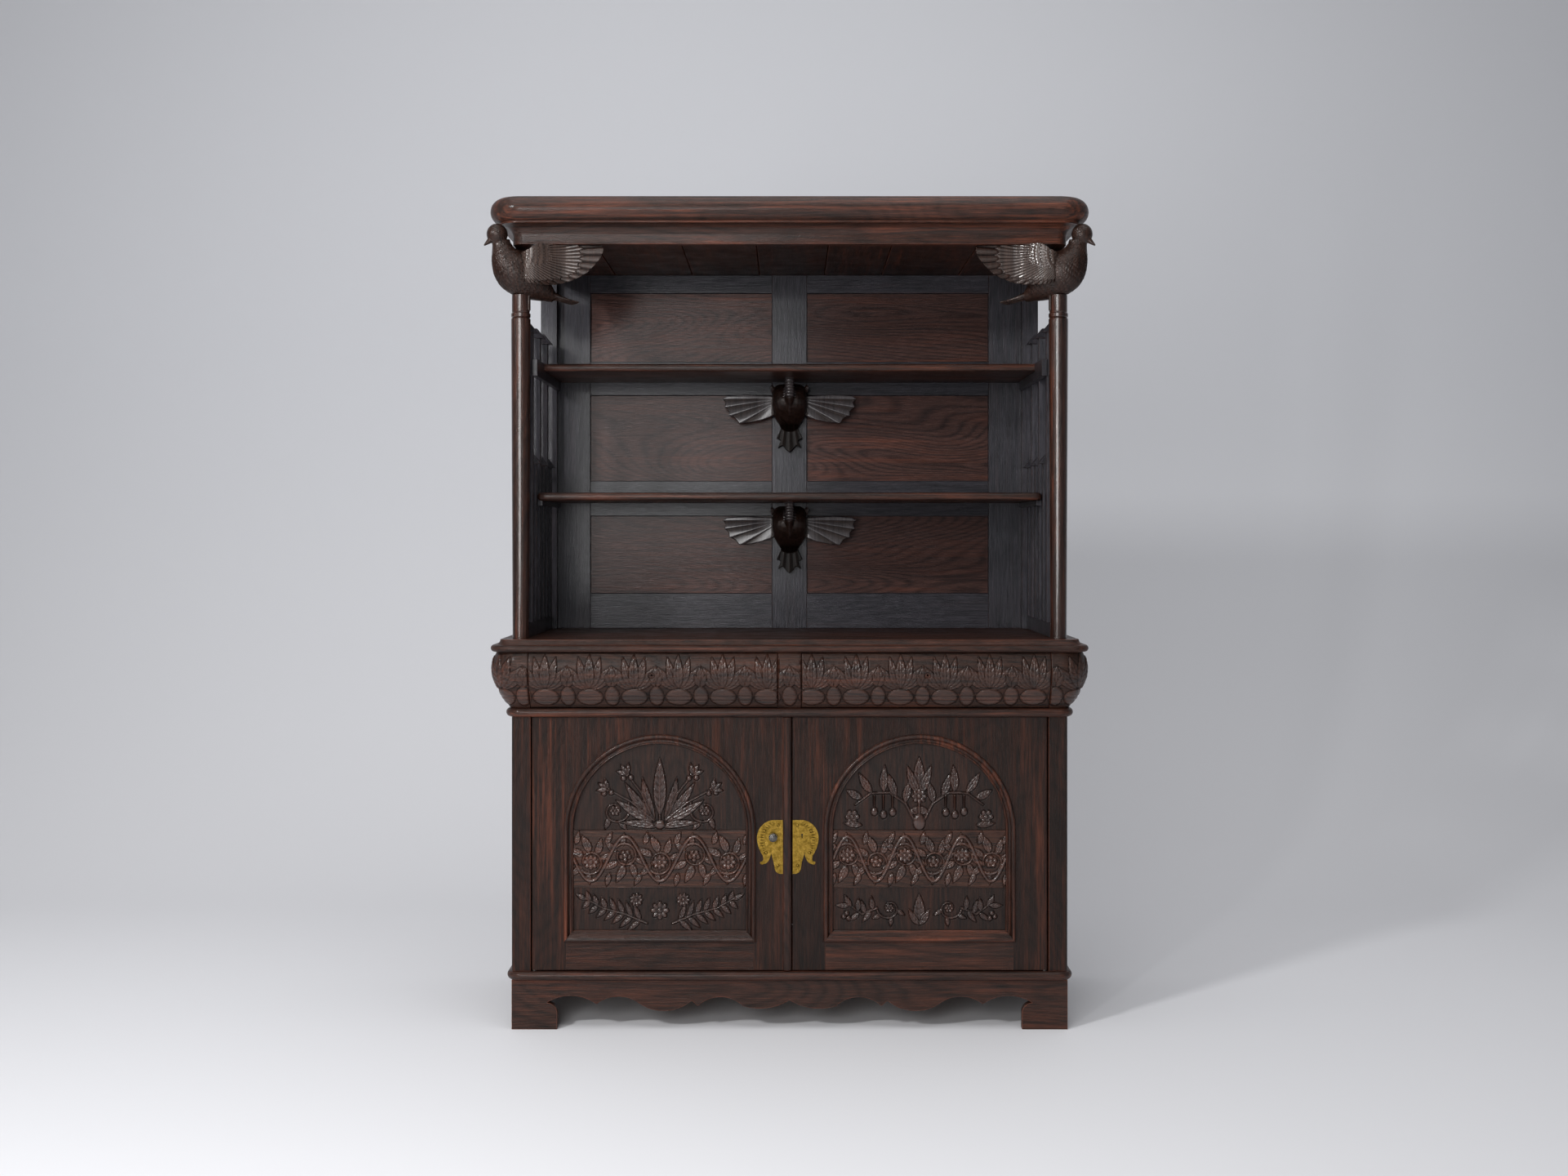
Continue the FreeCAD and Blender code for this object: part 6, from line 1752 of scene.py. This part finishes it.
class CABINET_OT_knob(bpy.types.Operator):
    """Puts a domed cap on the latch's knob"""

    bl_idname = "cabinet.knob"
    bl_label = "Knob"

    def execute(self, context):
        dome = small_shape("knob_dome", DOME_RINGS, "aged steel")
        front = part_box("latch_knob")[0].y
        dome.data.transform(Matrix.Translation((KNOB_PLACE[0], front + KNOB_SEAT, KNOB_PLACE[1])))
        shade_smooth(dome.data)
        settle(dome, "latch", "steel")
        return {"FINISHED"}


# The stage in metres: the backdrop's half width, front, bend and height, and the lamps' aim
BACKDROP_HALF = 12.0
BACKDROP_FRONT = -9.0
BACKDROP_BEND = 1.2
BACKDROP_RADIUS = 2.4
BACKDROP_HEIGHT = 9.0
BACKDROP_CHANGE = 2.2
LAMP_TARGET = Vector((0, 0, 1.1))
TOP_WAY = Vector((0, 0.12, -1))
# Place and size of each lamp
LAMPS = {
    "key": ((-2.9, -3.4, 3.2), (0.45, 0.45)),
    "front": ((-0.75, -4.75, 1.85), (1.4, 1.8)),
    "strip": ((-1.75, -4.5, 1.6), (0.22, 1.9)),
    "top": ((0.0, -1.2, 5.4), (5.0, 5.0)),
}
WORLD_COLOUR = (0.93, 0.95, 1.0, 1)
CAMERA_PLACE = (-0.004, -4.582, 1.294)
CAMERA_LENS = 37.97
CAMERA_SENSOR = 36.0
CAMERA_SHIFT = (-0.0026, -0.0328)


def stand(name, data, place, turn):
    """A lamp or camera at its place."""
    obj = bpy.data.objects.new(name, data)
    bpy.context.scene.collection.objects.link(obj)
    obj.location = place
    obj.rotation_euler = turn
    return obj


def backdrop(low, high):
    """A sheet of paper that bends up from the floor, of one tone below and another above."""
    tree, shader = shader_tree("backdrop paper")
    level = add(tree, "ShaderNodeSeparateXYZ", {0: object_place(tree)}).outputs["Z"]
    wire(tree, shader, {
        "Base Color": blend(tree, spread(tree, level, 0.0, BACKDROP_CHANGE), low, high),
        "Roughness": 0.9,
        "Specular IOR Level": 0.1,
    })
    bend, radius = BACKDROP_BEND, BACKDROP_RADIUS
    profile = [(BACKDROP_FRONT, 0.0), (bend, 0.0)]
    for a in np.linspace(0, math.pi / 2, 24)[1:]:
        profile.append((bend + radius * math.sin(a), radius - radius * math.cos(a)))
    profile.append((bend + radius, BACKDROP_HEIGHT))
    points = [(x, y, z) for y, z in profile for x in (-BACKDROP_HALF, BACKDROP_HALF)]
    faces = [[2 * i, 2 * i + 1, 2 * i + 3, 2 * i + 2] for i in range(len(profile) - 1)]
    cove = mesh_object("cove", points, faces, "backdrop paper")
    shade_smooth(cove.data)
    return cove


def lamp(name, energy):
    """One of the stage's lamps, turned to the cabinet or for the top one down."""
    place, size = LAMPS[name]
    data = bpy.data.lights.new(name, "AREA")
    data.energy, data.shape = energy, "RECTANGLE"
    data.size, data.size_y = size
    way = TOP_WAY if name == "top" else LAMP_TARGET - Vector(place)
    return stand(name, data, place, way.to_track_quat("-Z", "Y").to_euler())


class CABINET_OT_stage(bpy.types.Operator):
    """Sets up the backdrop, the lamps and the camera"""

    bl_idname = "cabinet.stage"
    bl_label = "Stage"

    def execute(self, context):
        scene = context.scene
        colours, stage = scene.cabinet_colours, scene.cabinet_stage
        cove = backdrop(colours.backdrop_low, colours.backdrop_high)
        lamps = [lamp(name, getattr(stage, name)) for name in LAMPS]
        scene.world = bpy.data.worlds.new("studio")
        scene.world.use_nodes = True
        light = scene.world.node_tree.nodes["Background"].inputs
        light["Color"].default_value, light["Strength"].default_value = WORLD_COLOUR, stage.world
        data = bpy.data.cameras.new("camera")
        data.lens, data.sensor_width = CAMERA_LENS, CAMERA_SENSOR
        data.shift_x, data.shift_y = CAMERA_SHIFT
        scene.camera = stand("camera", data, CAMERA_PLACE, (math.radians(90), 0, 0))
        scene.view_settings.view_transform = "Standard"
        return {"FINISHED"}


OPERATORS = (
    CABINET_OT_materials, CABINET_OT_boards, CABINET_OT_metals, CABINET_OT_door_carvings,
    CABINET_OT_door_mouldings, CABINET_OT_frieze_carvings, CABINET_OT_column_birds,
    CABINET_OT_bracket_birds, CABINET_OT_plates, CABINET_OT_knob, CABINET_OT_stage,
)
GROUPS = {
    "cabinet_colours": CABINET_PG_colours,
    "cabinet_sizes": CABINET_PG_sizes,
    "cabinet_stage": CABINET_PG_stage,
}


class CABINET_PT_steps(bpy.types.Panel):
    """Lists the steps that build the cabinet"""

    bl_idname = "CABINET_PT_steps"
    bl_label = "Carved oak cabinet"
    bl_space_type = "VIEW_3D"
    bl_region_type = "UI"
    bl_category = "Cabinet"

    def draw(self, context):
        for step in OPERATORS:
            self.layout.operator(step.bl_idname)
        for group in GROUPS:
            box = self.layout.box()
            for name in getattr(context.scene, group).__annotations__:
                box.prop(getattr(context.scene, group), name)


def register():
    """Registers the classes and gives the scene its properties."""
    for item in (*GROUPS.values(), *OPERATORS, CABINET_PT_steps):
        bpy.utils.register_class(item)
    for name, group in GROUPS.items():
        setattr(bpy.types.Scene, name, PointerProperty(type=group))


def unregister():
    """Takes the properties and the classes away again."""
    for name in GROUPS:
        delattr(bpy.types.Scene, name)
    for item in (CABINET_PT_steps, *reversed(OPERATORS), *GROUPS.values()):
        bpy.utils.unregister_class(item)


def main():
    """Builds the cabinet."""
    register()
    for step in OPERATORS:
        group, name = step.bl_idname.split(".")
        getattr(getattr(bpy.ops, group), name)()


if __name__ == "__main__":
    main()
